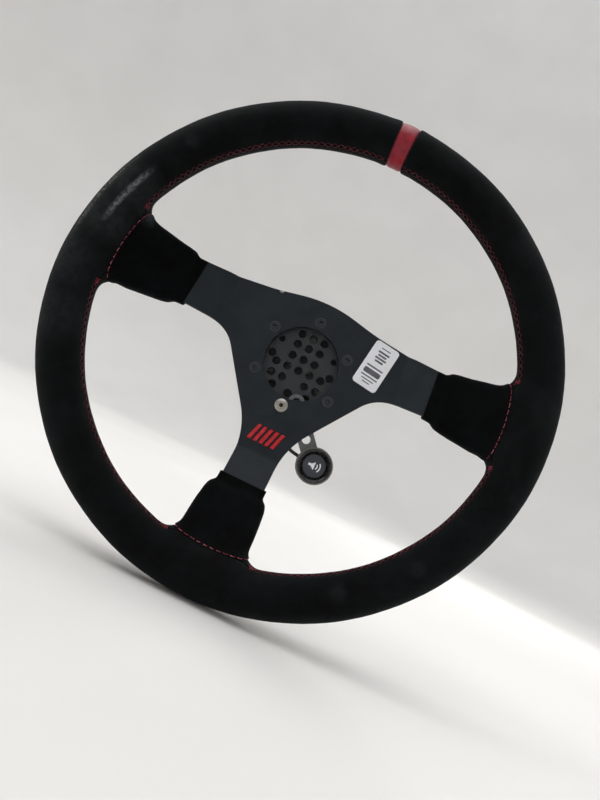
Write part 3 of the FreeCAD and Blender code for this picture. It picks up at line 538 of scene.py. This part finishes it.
def satin_metal(name, colour, roughness, grain=0.10, metallic=1.0, spread=0.06, marks=(),
                stretch=(1, 1, 1), bare=(0.5, 0.5, 0.5), **constants):
    """Anodised, oxided or machined metal: fine grain, cloudy gloss and small bare marks."""
    finish = Finish(name, colour, roughness, metallic, **constants)
    cloud = finish.noise(16, 4, 0.6)
    fine = finish.noise(grain * 3, 2, 0.6, stretch=stretch)
    speckle = finish.noise(1.1, 3, 0.7)
    tone = finish.mix(finish.range(cloud, 0.35, 0.68), scaled(colour, 0.86), scaled(colour, 1.14))
    tone = finish.mix(finish.range(speckle, 0.55, 0.8, 0, 0.35), tone, scaled(colour, 1.5))
    for point, reach in marks:
        spot = finish.maths("MULTIPLY", finish.spot(point, reach, 0.5),
                            finish.range(finish.noise(0.8, 3), 0.35, 0.55))
        tone = finish.mix(spot, tone, bare)
    shine = finish.maths("ADD", finish.range(cloud, 0.3, 0.7, roughness - spread, roughness + spread),
                         finish.range(speckle, 0.4, 0.8, 0.0, 0.06))
    finish.paint(tone, shine)
    finish.bump(fine, grain * 0.25, 0.45)
    return finish


def ringed(finish, centres, tones, pitch=0.5, depth=0.02):
    """Turned head: tones at radii in millimetres round each centre, here painted highlight rings and
    painted shade, and turning marks.
    """
    nearest = None
    for centre in centres:
        made = finish.node("ShaderNodeVectorMath", operation="DISTANCE")
        finish.feed(made.inputs[0], finish.coordinates)
        finish.feed(made.inputs[1], tuple(float(v) for v in centre))
        far = made.outputs["Value"]
        nearest = far if nearest is None else finish.maths("MINIMUM", nearest, far)
    reach = tones[-1][0]
    ramp = finish.node("ShaderNodeValToRGB")
    finish.feed(ramp.inputs[0], finish.maths("MULTIPLY", nearest, 1 / (reach * MM)))
    stops = ramp.color_ramp.elements
    stops[0].position = 0.0
    stops[0].color = (*tones[0][1], 1)
    stops[1].position = 1.0
    stops[1].color = (*tones[-1][1], 1)
    for radius, tone in tones[1:-1]:
        stops.new(radius / reach).color = (*tone, 1)
    finish.paint(ramp.outputs[0])
    wave = finish.maths("SINE", finish.maths("MULTIPLY", nearest, 2 * math.pi / (pitch * MM)))
    finish.bump(wave, depth, 0.7)
    return finish.material


def moulded(name, colour, roughness, grain=0.35, **constants):
    """Plastic or rubber with a fine moulded grain and dull scuffs."""
    finish = Finish(name, colour, roughness, **constants)
    scuff = finish.noise(6, 4, 0.65)
    tone = finish.mix(finish.range(scuff, 0.45, 0.72), colour, scaled(colour, 1.7))
    finish.paint(tone, finish.range(scuff, 0.35, 0.7, roughness - 0.04, min(1.0, roughness + 0.1)))
    finish.bump(finish.noise(grain, 3, 0.6), grain * 0.12, 0.4)
    return finish.material


def enamel():
    """Glossy red enamel over raised metal."""
    red = (0.52, 0.007, 0.015)
    finish = Finish("red_enamel_gloss", red, 0.26, Coat_Weight=0.3, Coat_Roughness=0.08,
                    Specular_IOR_Level=0.3)
    depth = finish.noise(3, 3)
    finish.paint(finish.mix(finish.range(depth, 0.3, 0.7), scaled(red, 0.7), scaled(red, 1.2)),
                 finish.range(depth, 0.3, 0.7, 0.28, 0.18))
    finish.bump(finish.noise(1.5, 2), 0.04, 0.3)
    return finish.material


def paper():
    """White laminated sticker, a little soiled in patches."""
    white = (0.87, 0.885, 0.93)
    finish = Finish("label_vinyl", white, 0.42, Specular_IOR_Level=0.4)
    soil = finish.noise(9, 5, 0.6)
    finish.paint(finish.mix(finish.range(soil, 0.45, 0.75, 0, 0.6), white, (0.76, 0.76, 0.75)),
                 finish.range(soil, 0.35, 0.7, 0.36, 0.5))
    finish.bump(finish.noise(0.3, 2), 0.01, 0.3)
    return finish.material


# ------------------------------------------------------------------ suede pieces

def tube_angles():
    """Tube angles round the grip, closer together at the long seam."""
    near = math.radians(17)
    fine = np.linspace(SEAM_ANGLE - near, SEAM_ANGLE + near, 25)
    coarse = np.linspace(SEAM_ANGLE + near, SEAM_ANGLE + 2 * math.pi - near, 66)[1:-1]
    return np.r_[fine, coarse]


def suede_rim():
    """The rim's sleeve, from one side of the band round to the other."""
    gap = (BAND_HALF + 0.4) / RIM_RADIUS
    angles = tube_angles()
    end = np.array([0.0, 0.15, 0.4, 0.8, 1.3, 1.9]) / RIM_RADIUS + gap
    clocks = np.r_[end, np.linspace(end[-1], 2 * math.pi - end[-1], 760)[1:-1],
                   2 * math.pi - end[::-1]]
    clock = clocks[:, None]
    signed = (clock + math.pi) % (2 * math.pi) - math.pi
    rings = grip_surface(signed, angles[None])
    inner = BAND_RADIUS - LEATHER + 0.05
    lips = [grip_ray(turn, angles, inner) for turn in (clocks[0], clocks[-1])]
    rings = np.concatenate([lips[0][None], rings, lips[1][None]])
    points, faces = skin(rings, close_ends=False)
    return outwards(new_piece("suede_rim", points, faces))


def boot_stations():
    """Distances out along a boot, closer together at its steps."""
    return np.r_[np.linspace(CUFF_START, 98.0, 4), np.linspace(99.0, 101.5, 4),
                 np.linspace(102.0, 110.0, 26), np.linspace(111.0, 136.0, 22),
                 np.linspace(137.0, SEAM_RADIUS, 9)]


def boot_rays(side, count=132):
    """Surface points of a boot: one ring of points for each station."""
    outward, sideways = spoke_axes(side)
    stations = boot_stations()[:, None]
    bend = np.clip((stations - 112) / (SEAM_RADIUS - 112), 0, 1)
    middle, level = boot_centre(stations, side)
    turn = np.arange(count)[None] * 2 * math.pi / count
    kind = "bottom" if side == "bottom" else "side"
    width = np.interp(stations, WIDTH["at"], WIDTH[kind])
    height = np.interp(stations, HEIGHT["at"], HEIGHT["is"])
    spread_x = width * np.sign(np.cos(turn)) * np.abs(np.cos(turn)) ** 0.8
    spread_z = height * np.sign(np.sin(turn)) * np.abs(np.sin(turn)) ** 0.8
    size = np.hypot(spread_x, spread_z)
    step_x = spread_x / size
    step_z = spread_z / size
    lip = 0.25 * np.exp(-((SEAM_RADIUS - stations) / 2.0) ** 2)
    wrinkle = ripple(stations / 14 + np.sin(turn), 2 * turn) * 0.5

    def points_at(along):
        """Points a way out along the boot's rays."""
        across = middle + along * step_x
        sag = SEAM_RADIUS - np.sqrt(SEAM_RADIUS ** 2 - across ** 2)
        out = stations - bend * sag
        flat = out[..., None] * outward + across[..., None] * sideways
        return np.concatenate([flat, (level + along * step_z)[..., None]], -1)

    def distance(along):
        return padded_distance(points_at(along)) - lip - wrinkle

    return points_at, first_crossing(distance, 46.0)


def suede_boot(side):
    """One boot, sewn to the rim along its outer edge."""
    points_at, reach = boot_rays(side)
    rings = points_at(reach)
    inner_ring = points_at(np.maximum(reach - 0.8, 0.1))
    hidden = points_at(np.maximum(reach - 2.2, 0.1))
    outward, _ = spoke_axes(side)
    push = np.r_[outward, 0]
    start = [points_at(reach * 0.55)[0], inner_ring[0], points_at(reach - 0.25)[0] + push * 0.1]
    end = [rings[-1] + push * 0.35 + (inner_ring[-1] - rings[-1]) * 0.4,
           inner_ring[-1] + push * 0.5, hidden[-1] + push * 0.5]
    rings = np.concatenate([np.array(start), rings[1:], np.array(end)])
    points, faces = skin(rings)
    return outwards(new_piece("suede_boot_" + side, points, faces))


def leather_band():
    """Red band that marks straight ahead, a little crowned between its edges."""
    inner = BAND_RADIUS - LEATHER
    across = np.linspace(-1, 1, 25)
    angles = np.linspace(0, 2 * math.pi, 121)[:-1]
    crown = BAND_RADIUS + 0.65 - 0.75 * across ** 4
    profile = [(-BAND_HALF, inner)]
    profile += [(BAND_HALF * a * 0.999, c) for a, c in zip(across, crown)]
    profile += [(BAND_HALF, inner)]
    rings = []
    for arc, radius in profile:
        uneven = 0.04 * np.sin(3 * angles + arc)
        rings.append(grip_ray(arc / RIM_RADIUS, angles, radius + (uneven if radius > inner else 0)))
    inside = [grip_ray(arc / RIM_RADIUS, angles, inner) for arc in (BAND_HALF / 2, -BAND_HALF / 2)]
    points, faces = skin(np.array(rings + inside + rings[:1]), close_ends=False)
    return outwards(new_piece("leather_band", points, faces), weld=0.00001)


# --------------------------------------------------------------------- stitching

def seam_runs():
    """Start and end clock angles, in radians, of each run of the long seam."""
    gap = (BAND_HALF + 1.6) / RIM_RADIUS
    right = math.radians(SPOKE_CLOCKS["right"])
    bottom = math.radians(SPOKE_CLOCKS["bottom"])
    left = 2 * math.pi - right
    return [(gap, right - KNOT_CLOCK), (right + KNOT_CLOCK, bottom - KNOT_CLOCK),
            (bottom + KNOT_CLOCK, left - KNOT_CLOCK), (left + KNOT_CLOCK, 2 * math.pi - gap)]


def surface_thread(clocks, angles, rise):
    """Thread over the grip through the given clock and tube angles."""
    signed = (np.asarray(clocks) + math.pi) % (2 * math.pi) - math.pi
    base = grip_surface(signed, angles)
    outer = grip_ray(signed, angles, 1.0) - grip_ray(signed, angles, 0.0)
    path = base + outer * np.asarray(rise)[:, None]
    return cord_rings(path, THREAD_RADIUS, outer, 7, 2, THREAD_TWIST)


def rim_stitching():
    """Crossed red thread all along the long seam."""
    share = np.linspace(0, 1, 11)
    rise = STITCH_ARCH * np.sin(math.pi * share) ** 0.55 - STITCH_SINK
    over = rise + CROSS_LIFT * np.exp(-((share - 0.5) / 0.2) ** 2)
    threads = []
    inner_radius = RIM_RADIUS - GRIP_RADIUS
    for start, end in seam_runs():
        count = round((end - start) * inner_radius / STITCH_PITCH)
        step = (end - start) / count
        for i in range(count):
            clocks = start + step * (i + share)
            side = SEAM_ANGLE + ROW_ANGLE * (1 - 2 * share)
            threads.append(skin(surface_thread(clocks, side, rise)))
            threads.append(skin(surface_thread(clocks, 2 * SEAM_ANGLE - side, over)))
    return new_piece("rim_stitching", *join(threads))


def boot_edge(side):
    """Points of a boot's sewn edge all the way round, and its middle."""
    points_at, reach = boot_rays(side, 720)
    edge = points_at(reach)[-1]
    centre = points_at(np.zeros(1))[-1]
    return edge, centre


def boot_stitching():
    """Dashes of thread along each boot's sewn edge, front and back."""
    share = np.linspace(-0.5, 0.5, 9)
    arch = DASH_ARCH * np.cos(share * math.pi) ** 0.6 - DASH_SINK
    threads = []
    for side in SPOKE_CLOCKS:
        edge, centre = boot_edge(side)
        for face in (1, -1):
            picked = edge[1:360] if face == 1 else edge[361:][::-1]
            length = np.r_[0, np.cumsum(np.linalg.norm(np.diff(picked, axis=0), axis=1))]
            outer = picked - centre[0]
            outer = outer / np.linalg.norm(outer, axis=1)[:, None]
            middle = length[-1] / 2
            count = int((length[-1] - 8) / DASH_PITCH)
            for i in range(count):
                at = middle + (i - (count - 1) / 2) * DASH_PITCH
                spots = at + DASH_LENGTH * share
                path = np.stack([np.interp(spots, length, picked[:, k]) for k in range(3)], -1)
                up = np.stack([np.interp(spots, length, outer[:, k]) for k in range(3)], -1)
                path = path + up * arch[:, None]
                threads.append(skin(cord_rings(path, DASH_RADIUS, up, 8, 2, DASH_TWIST)))
    return new_piece("boot_stitching", *join(threads))


def seam_knots():
    """Close wraps of thread where the long seam meets a boot."""
    threads = []
    share = np.linspace(-1, 1, 13)
    rise = KNOT_ARCH * np.cos(share * math.pi / 2) ** 0.5 - KNOT_SINK
    for start, end in seam_runs():
        for clock, inward in ((start, 1), (end, -1)):
            if min(clock, 2 * math.pi - clock) < 0.2:
                continue
            for i in range(KNOT_WRAPS):
                offset = inward * (i - 2) * KNOT_PITCH / (RIM_RADIUS - GRIP_RADIUS)
                lean = 0.004 * share * (1 if i % 2 else -1)
                angles = SEAM_ANGLE + 0.8 * ROW_ANGLE * share
                rings = surface_thread(clock + offset + lean, angles, rise)
                threads.append(skin(rings))
    return new_piece("seam_knots", *join(threads))


# ------------------------------------------------------------ springs and prints

def coil(name, node, turns, wire):
    """Helical spring in the space of its CAD node."""
    low, high = wheel_box(node)
    centre = (low + high) / 2
    radius = (high[0] - low[0]) / 2 - wire
    steps = int(turns * 28)
    share = np.linspace(0, 1, steps + 1)
    ends = 0.75 / turns
    rise = np.interp(share, [0, ends, 1 - ends, 1], [0, 0.02, 0.98, 1])
    level = low[2] + wire + rise * (high[2] - low[2] - 2 * wire)
    angle = share * turns * 2 * math.pi
    path = np.stack([centre[0] + radius * np.cos(angle), centre[1] + radius * np.sin(angle),
                     level], -1)
    piece = new_piece(name, *skin(cord_rings(path, wire, (0, 0, 1), 10)))
    outwards(piece)
    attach(piece, "wheel")
    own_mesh(piece)
    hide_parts(node)
    return piece


def arc_points(centre, radius, start, end, count):
    """Points along an arc, angles in degrees anticlockwise from +x."""
    angles = np.radians(np.linspace(start, end, count))
    return [(centre[0] + radius * math.cos(a), centre[1] + radius * math.sin(a)) for a in angles]


def rounded_bar(centre, width, height, corner, lean=0.0):
    """Outline of a bar with round corners, turned by lean degrees."""
    outline = []
    for sign_x, sign_y, start in ((1, -1, -90), (1, 1, 0), (-1, 1, 90), (-1, -1, 180)):
        middle = (sign_x * (width / 2 - corner), sign_y * (height / 2 - corner))
        outline += arc_points(middle, corner, start, start + 90, 5)
    turn = math.radians(-lean)
    return [(centre[0] + x * math.cos(turn) - y * math.sin(turn),
             centre[1] + x * math.sin(turn) + y * math.cos(turn)) for x, y in outline]


def button_mark():
    """Plain horn sign on the button: a flared bell and two sound arcs."""
    x, y = BUTTON[0], BUTTON[1]
    low = BUTTON_TOP + 0.005
    high = BUTTON_TOP + 0.045
    parts = [outline_prism([(x - 4.6, y - 0.9), (x - 2.6, y - 0.9), (x + 0.2, y - 3.0),
                            (x + 0.2, y + 3.0), (x - 2.6, y + 0.9), (x - 4.6, y + 0.9)], low, high)]
    for radius in (2.6, 4.8):
        outline = arc_points((x - 0.4, y), radius + 0.45, -42, 42, 13)
        outline += arc_points((x - 0.4, y), radius - 0.45, 42, -42, 13)
        parts.append(outline_prism(outline, low, high))
    return new_piece("button_mark", *join(parts), smooth=False)


def label_print():
    """Plain bars on the sticker in place of any writing or code."""
    low, high = wheel_box("data_label")
    centre = (low + high) / 2
    lean = 8.3
    turn = math.radians(-lean)
    level = high[2] + 0.004
    parts = []

    def bar(across, up, width, height, corner):
        place_x = centre[0] + across * math.cos(turn) - up * math.sin(turn)
        place_y = centre[1] + across * math.sin(turn) + up * math.cos(turn)
        parts.append(outline_prism(rounded_bar((place_x, place_y), width, height, corner, lean),
                                   level, level + 0.03))

    for row, width in ((14.6, 8.0), (-12.4, 10.5), (-14.6, 6.5)):
        bar(0, row, width, 0.8, 0.38)
    for i in range(4):
        bar(0, 11.4 - 2.5 * i, 9.5 - (i % 2) * 2.4, 1.5, 0.5)
    bar(0, -1.6, 14.0, 1.2, 0.5)
    bar(0, -5.8, 14.0, 4.2, 1.2)
    bar(0, -9.9, 14.0, 1.0, 0.4)
    return new_piece("label_print", *join(parts), smooth=False)


# --------------------------------------------------------------------- the stage

# Floor and wall, in metres
FLOOR_FLAT = 2.0                        # radius of the flat floor
FLOOR_SWEEP = 1.2                       # radius of its curve up into the wall
WALL_TOP = 5.5
FLOOR_GAP = 0.3                         # millimetres under the rim

# Lights: name, place and width in metres, power in watts
LIGHTS = [
    ("ceiling", (-0.5, -0.5, 2.1), 2.0, 18.0),
    ("left_fill", (-1.7, -0.3, 1.3), 1.0, 10.0),
    ("back_fill", (0.9, 1.5, 1.0), 1.4, 14.0),
]


def pale_floor():
    """Floor that sweeps up all round into a pale wall."""
    floor_level = -(RIM_RADIUS + GRIP_RADIUS + FLOOR_GAP) * MM
    profile = [(0.02, 0.0), (0.6, 0.0), (FLOOR_FLAT, 0.0)]
    profile += [(FLOOR_FLAT + FLOOR_SWEEP * math.sin(a), FLOOR_SWEEP * (1 - math.cos(a)))
                for a in np.linspace(0, math.pi / 2, 17)[1:]]
    profile.append((FLOOR_FLAT + FLOOR_SWEEP, WALL_TOP))
    count = 96
    turn = np.arange(count) * 2 * math.pi / count
    points = []
    for radius, height in profile:
        points += [(radius * math.cos(a), radius * math.sin(a), floor_level + height) for a in turn]
    faces = []
    for i in range(len(profile) - 1):
        for k in range(count):
            a = i * count + k
            b = i * count + (k + 1) % count
            faces.append((a, b, b + count, a + count))
    faces.append(tuple(range(count))[::-1])
    mesh = bpy.data.meshes.new("floor")
    mesh.from_pydata(points, [], faces)
    mesh.polygons.foreach_set("use_smooth", [True] * len(mesh.polygons))
    floor = bpy.data.objects.new("floor", mesh)
    bpy.context.scene.collection.objects.link(floor)
    finish = Finish("pale_floor", (0.74, 0.73, 0.71), 0.75)
    finish.paint(finish.mix(finish.range(finish.noise(400, 2), 0.3, 0.7),
                            (0.73, 0.72, 0.70), (0.76, 0.75, 0.73)))
    mesh.materials.append(finish.material)


def room_light():
    """Pale room and soft lamps."""
    world = bpy.data.worlds.new("room")
    world.use_nodes = True
    background = world.node_tree.nodes["Background"]
    background.inputs["Color"].default_value = (0.93, 0.95, 1.0, 1)
    background.inputs["Strength"].default_value = 1.25
    bpy.context.scene.world = world
    bpy.context.scene.view_settings.view_transform = "Standard"
    bpy.context.scene.view_settings.look = "None"

    for name, spot, size, power in LIGHTS:
        lamp = bpy.data.lights.new(name, "AREA")
        lamp.shape = "DISK"
        lamp.size = size
        lamp.energy = power
        lamp.color = (1.0, 0.985, 0.96)
        holder = bpy.data.objects.new(name, lamp)
        holder.location = spot
        aim = Vector((0, -0.06, 0)) - Vector(spot)
        holder.rotation_euler = aim.to_track_quat("-Z", "Y").to_euler()
        bpy.context.scene.collection.objects.link(holder)


CAMERA_PLACE = Vector((0.0183, -0.4731, -0.0729))
CAMERA_AIM = Vector((0.0110, -0.0560, -0.0253))
CAMERA_ROLL = -25.7                     # degrees, clockwise positive for the camera body
CAMERA_LENS = 25.2


def camera():
    """Camera below and close to the wheel, rolled as it was held."""
    ahead = (CAMERA_AIM - CAMERA_PLACE).normalized()
    right = ahead.cross(Vector((0, 0, 1))).normalized()
    up = right.cross(ahead)
    roll = math.radians(CAMERA_ROLL)
    up = up * math.cos(roll) + right * math.sin(roll)
    right = ahead.cross(up)
    data = bpy.data.cameras.new("camera")
    data.lens = CAMERA_LENS
    data.sensor_width = 36
    data.sensor_height = 36
    data.clip_start = 0.01
    holder = bpy.data.objects.new("camera", data)
    turn = Matrix((right, up, -ahead)).transposed().to_4x4()
    holder.matrix_world = Matrix.Translation(CAMERA_PLACE) @ turn
    bpy.context.scene.collection.objects.link(holder)
    bpy.context.scene.camera = holder


# ---------------------------------------------------------------------- assembly

def dress(material, *nodes):
    """Give CAD nodes a material."""
    for name in nodes:
        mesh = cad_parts[name].data
        mesh.materials.clear()
        mesh.materials.append(material)


def add(piece, material, body="wheel", instead=()):
    """Finish a piece, fix it to a body and hide the CAD nodes it stands in for."""
    piece.data.materials.append(material)
    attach(piece, body)
    if instead:
        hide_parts(*instead)
    return piece


def soft_parts():
    """Suede, leather and thread."""
    # Spots of lighter, glossier suede, partly hand wear and partly painted sheen: point, reach in
    # millimetres, strength
    wear_and_sheen_spots = [(grip_point(-82, 66), 24, 0.38), (grip_point(-72, 70), 24, 0.38),
             (grip_point(-95, 95), 26, 0.30), (grip_point(-108, 100), 28, 0.26),
             (grip_point(-54, 80), 7, 0.3), (grip_point(147, 70), 9, 0.2),
             (grip_point(128, 75), 8, 0.2), (grip_point(40, 110), 20, 0.12),
             (grip_point(80, 100), 20, 0.15)]
    # Painted highlights along the grip: point, reach, radius of each highlight's circle, width,
    # colour
    highlight_streaks = [(grip_point(-74.5, 66), 28, 154.8, 2.8, (0.165, 0.170, 0.182)),
               (grip_point(-78, 120), 46, 168.5, 4.0, (0.050, 0.054, 0.050))]
    rim_suede = suede("black_suede_rim", wear_and_sheen_spots, highlight_streaks)
    add(suede_rim(), rim_suede, instead=["rim_cover"])
    corner = boot_corner("left")
    cloth = suede("black_suede_boot", [(corner, 9, 0.55)], depth=0.65)
    for side in SPOKE_CLOCKS:
        boot = add(suede_boot(side), cloth, instead=["spoke_boot_" + side])
    add(leather_band(), leather(), instead=["top_mark_band"])
    dark_red = thread("rim_thread", (0.055, 0.005, 0.009), (0.150, 0.018, 0.028))
    # Boot thread made paler as painted highlight on its dashes.
    pale_red = thread("boot_thread", (0.190, 0.018, 0.038), (0.46, 0.150, 0.180))
    add(rim_stitching(), dark_red)
    knot_red = thread("knot_thread", (0.190, 0.010, 0.024), (0.34, 0.040, 0.068))
    add(seam_knots(), knot_red)
    add(boot_stitching(), pale_red)


def boot_corner(side):
    """Point of the row's frame near a boot's upper outer corner, where hands rub it."""
    outward, sideways = spoke_axes(side)
    flat = outward * 136 + sideways * 25
    return place(np.array([flat[0], flat[1], RIM_LEVEL]))


def metal_parts():
    """Materials for the CAD nodes that show as they are."""
    screws = [place((*(35 * np.array([math.sin(a), math.cos(a)])), PLATE_FRONT))
              for a in np.radians([0, 60, 120, 240, 300])]
    nick = place((-37.6, 45.1, PLATE_FRONT))
    plate = satin_metal("anodised_sheet", (0.0190, 0.0238, 0.0288), 0.52, 0.12, metallic=0.0,
                        marks=[(nick, 2.4)], Specular_IOR_Level=0.13)
    dress(plate.material, "spoke_plate")
    vent = satin_metal("anodised_vent", (0.0215, 0.0245, 0.0290), 0.46, 0.10, metallic=0.0,
                       Specular_IOR_Level=0.40)
    dress(vent.material, "vent_plate")
    # Black anodised, darkened further as painted shade inside the hub.
    hub = satin_metal("anodised_hub", (0.012, 0.0125, 0.014), 0.40, 0.10, metallic=0.0,
                      Specular_IOR_Level=0.3)
    dress(hub.material, "hub_barrel", "hub_flange", "stop_ring")
    black_screw = satin_metal("black_oxide", (0.020, 0.022, 0.025), 0.42, 0.08, metallic=0.0,
                              Specular_IOR_Level=0.22)
    # The screw heads get painted shade in their sockets and painted highlight rings at 1.9 and 3.5
    # millimetres.
    painted_shade_dark = (0.0020, 0.0021, 0.0025)
    mid = (0.0110, 0.0135, 0.0160)
    rings = [(0.0, painted_shade_dark), (1.6, painted_shade_dark), (1.9, (0.055, 0.062, 0.070)), (2.5, mid), (3.1, mid),
             (3.5, (0.070, 0.078, 0.088)), (3.9, mid), (4.4, (0.020, 0.024, 0.028)), (5.2, painted_shade_dark)]
    dress(ringed(black_screw, screws, rings, 0.9, 0.03), "plate_screws")
    head = place((0, -35, PLATE_FRONT + 1.5))
    plated = satin_metal("plated_screw", (0.50, 0.48, 0.44), 0.30, 0.10, metallic=0.9)
    # Painted shade in the screw's socket and painted highlight rings on its head.
    rings = [(0.0, (0.02, 0.015, 0.012)), (1.7, (0.05, 0.04, 0.03)), (2.1, (0.40, 0.37, 0.33)),
             (2.8, (0.26, 0.24, 0.21)), (3.6, (0.42, 0.40, 0.37)), (6.5, (0.33, 0.31, 0.28))]
    dress(ringed(plated, [head], rings, 0.8, 0.03), "strap_screw")
    bright = satin_metal("bright_zinc", (0.60, 0.59, 0.55), 0.28, 0.10, spread=0.05)
    dress(bright.material, "button_washer", "button_nut")
    strap = satin_metal("zinc_strap", (0.135, 0.145, 0.150), 0.42, 0.16, stretch=(1, 1, 6))
    dress(strap.material, "button_strap")
    collar = satin_metal("clear_anodised", (0.33, 0.335, 0.35), 0.36, 0.10)
    dress(collar.material, "release_collar", "rim_core", "rim_rivets")
    # Zinc made darker as painted shade, for the screws and pins inside the hub.
    inside = satin_metal("zinc_in_painted_shade", (0.045, 0.045, 0.043), 0.32, 0.10)
    dress(inside.material, "contact_block_screws", "drive_pins")
    steel = satin_metal("machined_steel", (0.42, 0.42, 0.44), 0.30, 0.10, stretch=(1, 8, 1))
    dress(steel.material, "drive_ring", "drive_ring_clip")
    ball = satin_metal("polished_steel", (0.80, 0.80, 0.82), 0.10, 0.06, spread=0.03)
    dress(ball.material, *["lock_ball_%d" % k for k in range(1, 7)])
    brass = satin_metal("brass", (0.72, 0.52, 0.22), 0.26, 0.08)
    dress(brass.material, "contact_terminals", "contact_pin_1", "contact_pin_2",
          "switch_terminals")
    cup = satin_metal("button_cup", (0.11, 0.112, 0.115), 0.36, 0.10)
    cup_low, cup_high = wheel_box("button_housing")
    edge = (cup_high[0] - cup_low[0]) / 2
    face = place((BUTTON[0], BUTTON[1], cup_high[2]))
    # Near black inside the lip as painted shade, with a thin painted highlight ring at the lip.
    rings = [(0.0, painted_shade_dark), (edge - 1.6, (0.020, 0.020, 0.021)), (edge - 0.7, (0.17, 0.165, 0.15)),
             (edge + 8, (0.10, 0.10, 0.098))]
    dress(ringed(cup, [face], rings, 0.7, 0.01), "button_housing")
    dress(moulded("gloss_black", (0.005, 0.005, 0.006), 0.22, 0.6, Coat_Weight=0.15,
                  Coat_Roughness=0.08), "button_bezel", "button_cap")
    dress(moulded("slate_disc", (0.021, 0.025, 0.038), 0.38, 0.5), "button_disc")
    # Black nylon, darkened further as painted shade inside the hub behind the vent holes.
    dress(moulded("nylon", (0.004, 0.004, 0.0045), 0.6, 0.4), "contact_block", "switch_body")
    dress(moulded("rubber", (0.020, 0.019, 0.018), 0.62, 0.5), "rear_boot", "cable_grommet")
    dress(moulded("cable_sheath", (0.022, 0.018, 0.016), 0.48, 0.8), "button_cable")
    dress(moulded("foam", (0.045, 0.045, 0.046), 0.85, 0.9), "rim_foam")
    dress(enamel(), "spoke_badge")
    dress(paper(), "data_label")
    return satin_metal("spring_wire", (0.48, 0.48, 0.50), 0.24, 0.08).material


def springs(wire_finish):
    """The four coil springs."""
    pieces = [
        coil("collar_coil", "collar_spring", 5, 0.75),
        coil("button_coil", "button_spring", 4, 0.30),
        coil("contact_coil_1", "contact_spring_1", 6, 0.20),
        coil("contact_coil_2", "contact_spring_2", 6, 0.20),
    ]
    for piece in pieces:
        piece.data.materials.append(wire_finish)


def prints():
    """Printed marks."""
    white = moulded("white_print", (0.78, 0.80, 0.84), 0.4, 0.4)
    add(button_mark(), white, body="button")
    ink = moulded("dark_print", (0.10, 0.10, 0.115), 0.5, 0.4)
    add(label_print(), ink)


soft_parts()
springs(metal_parts())
prints()
pale_floor()
room_light()
camera()
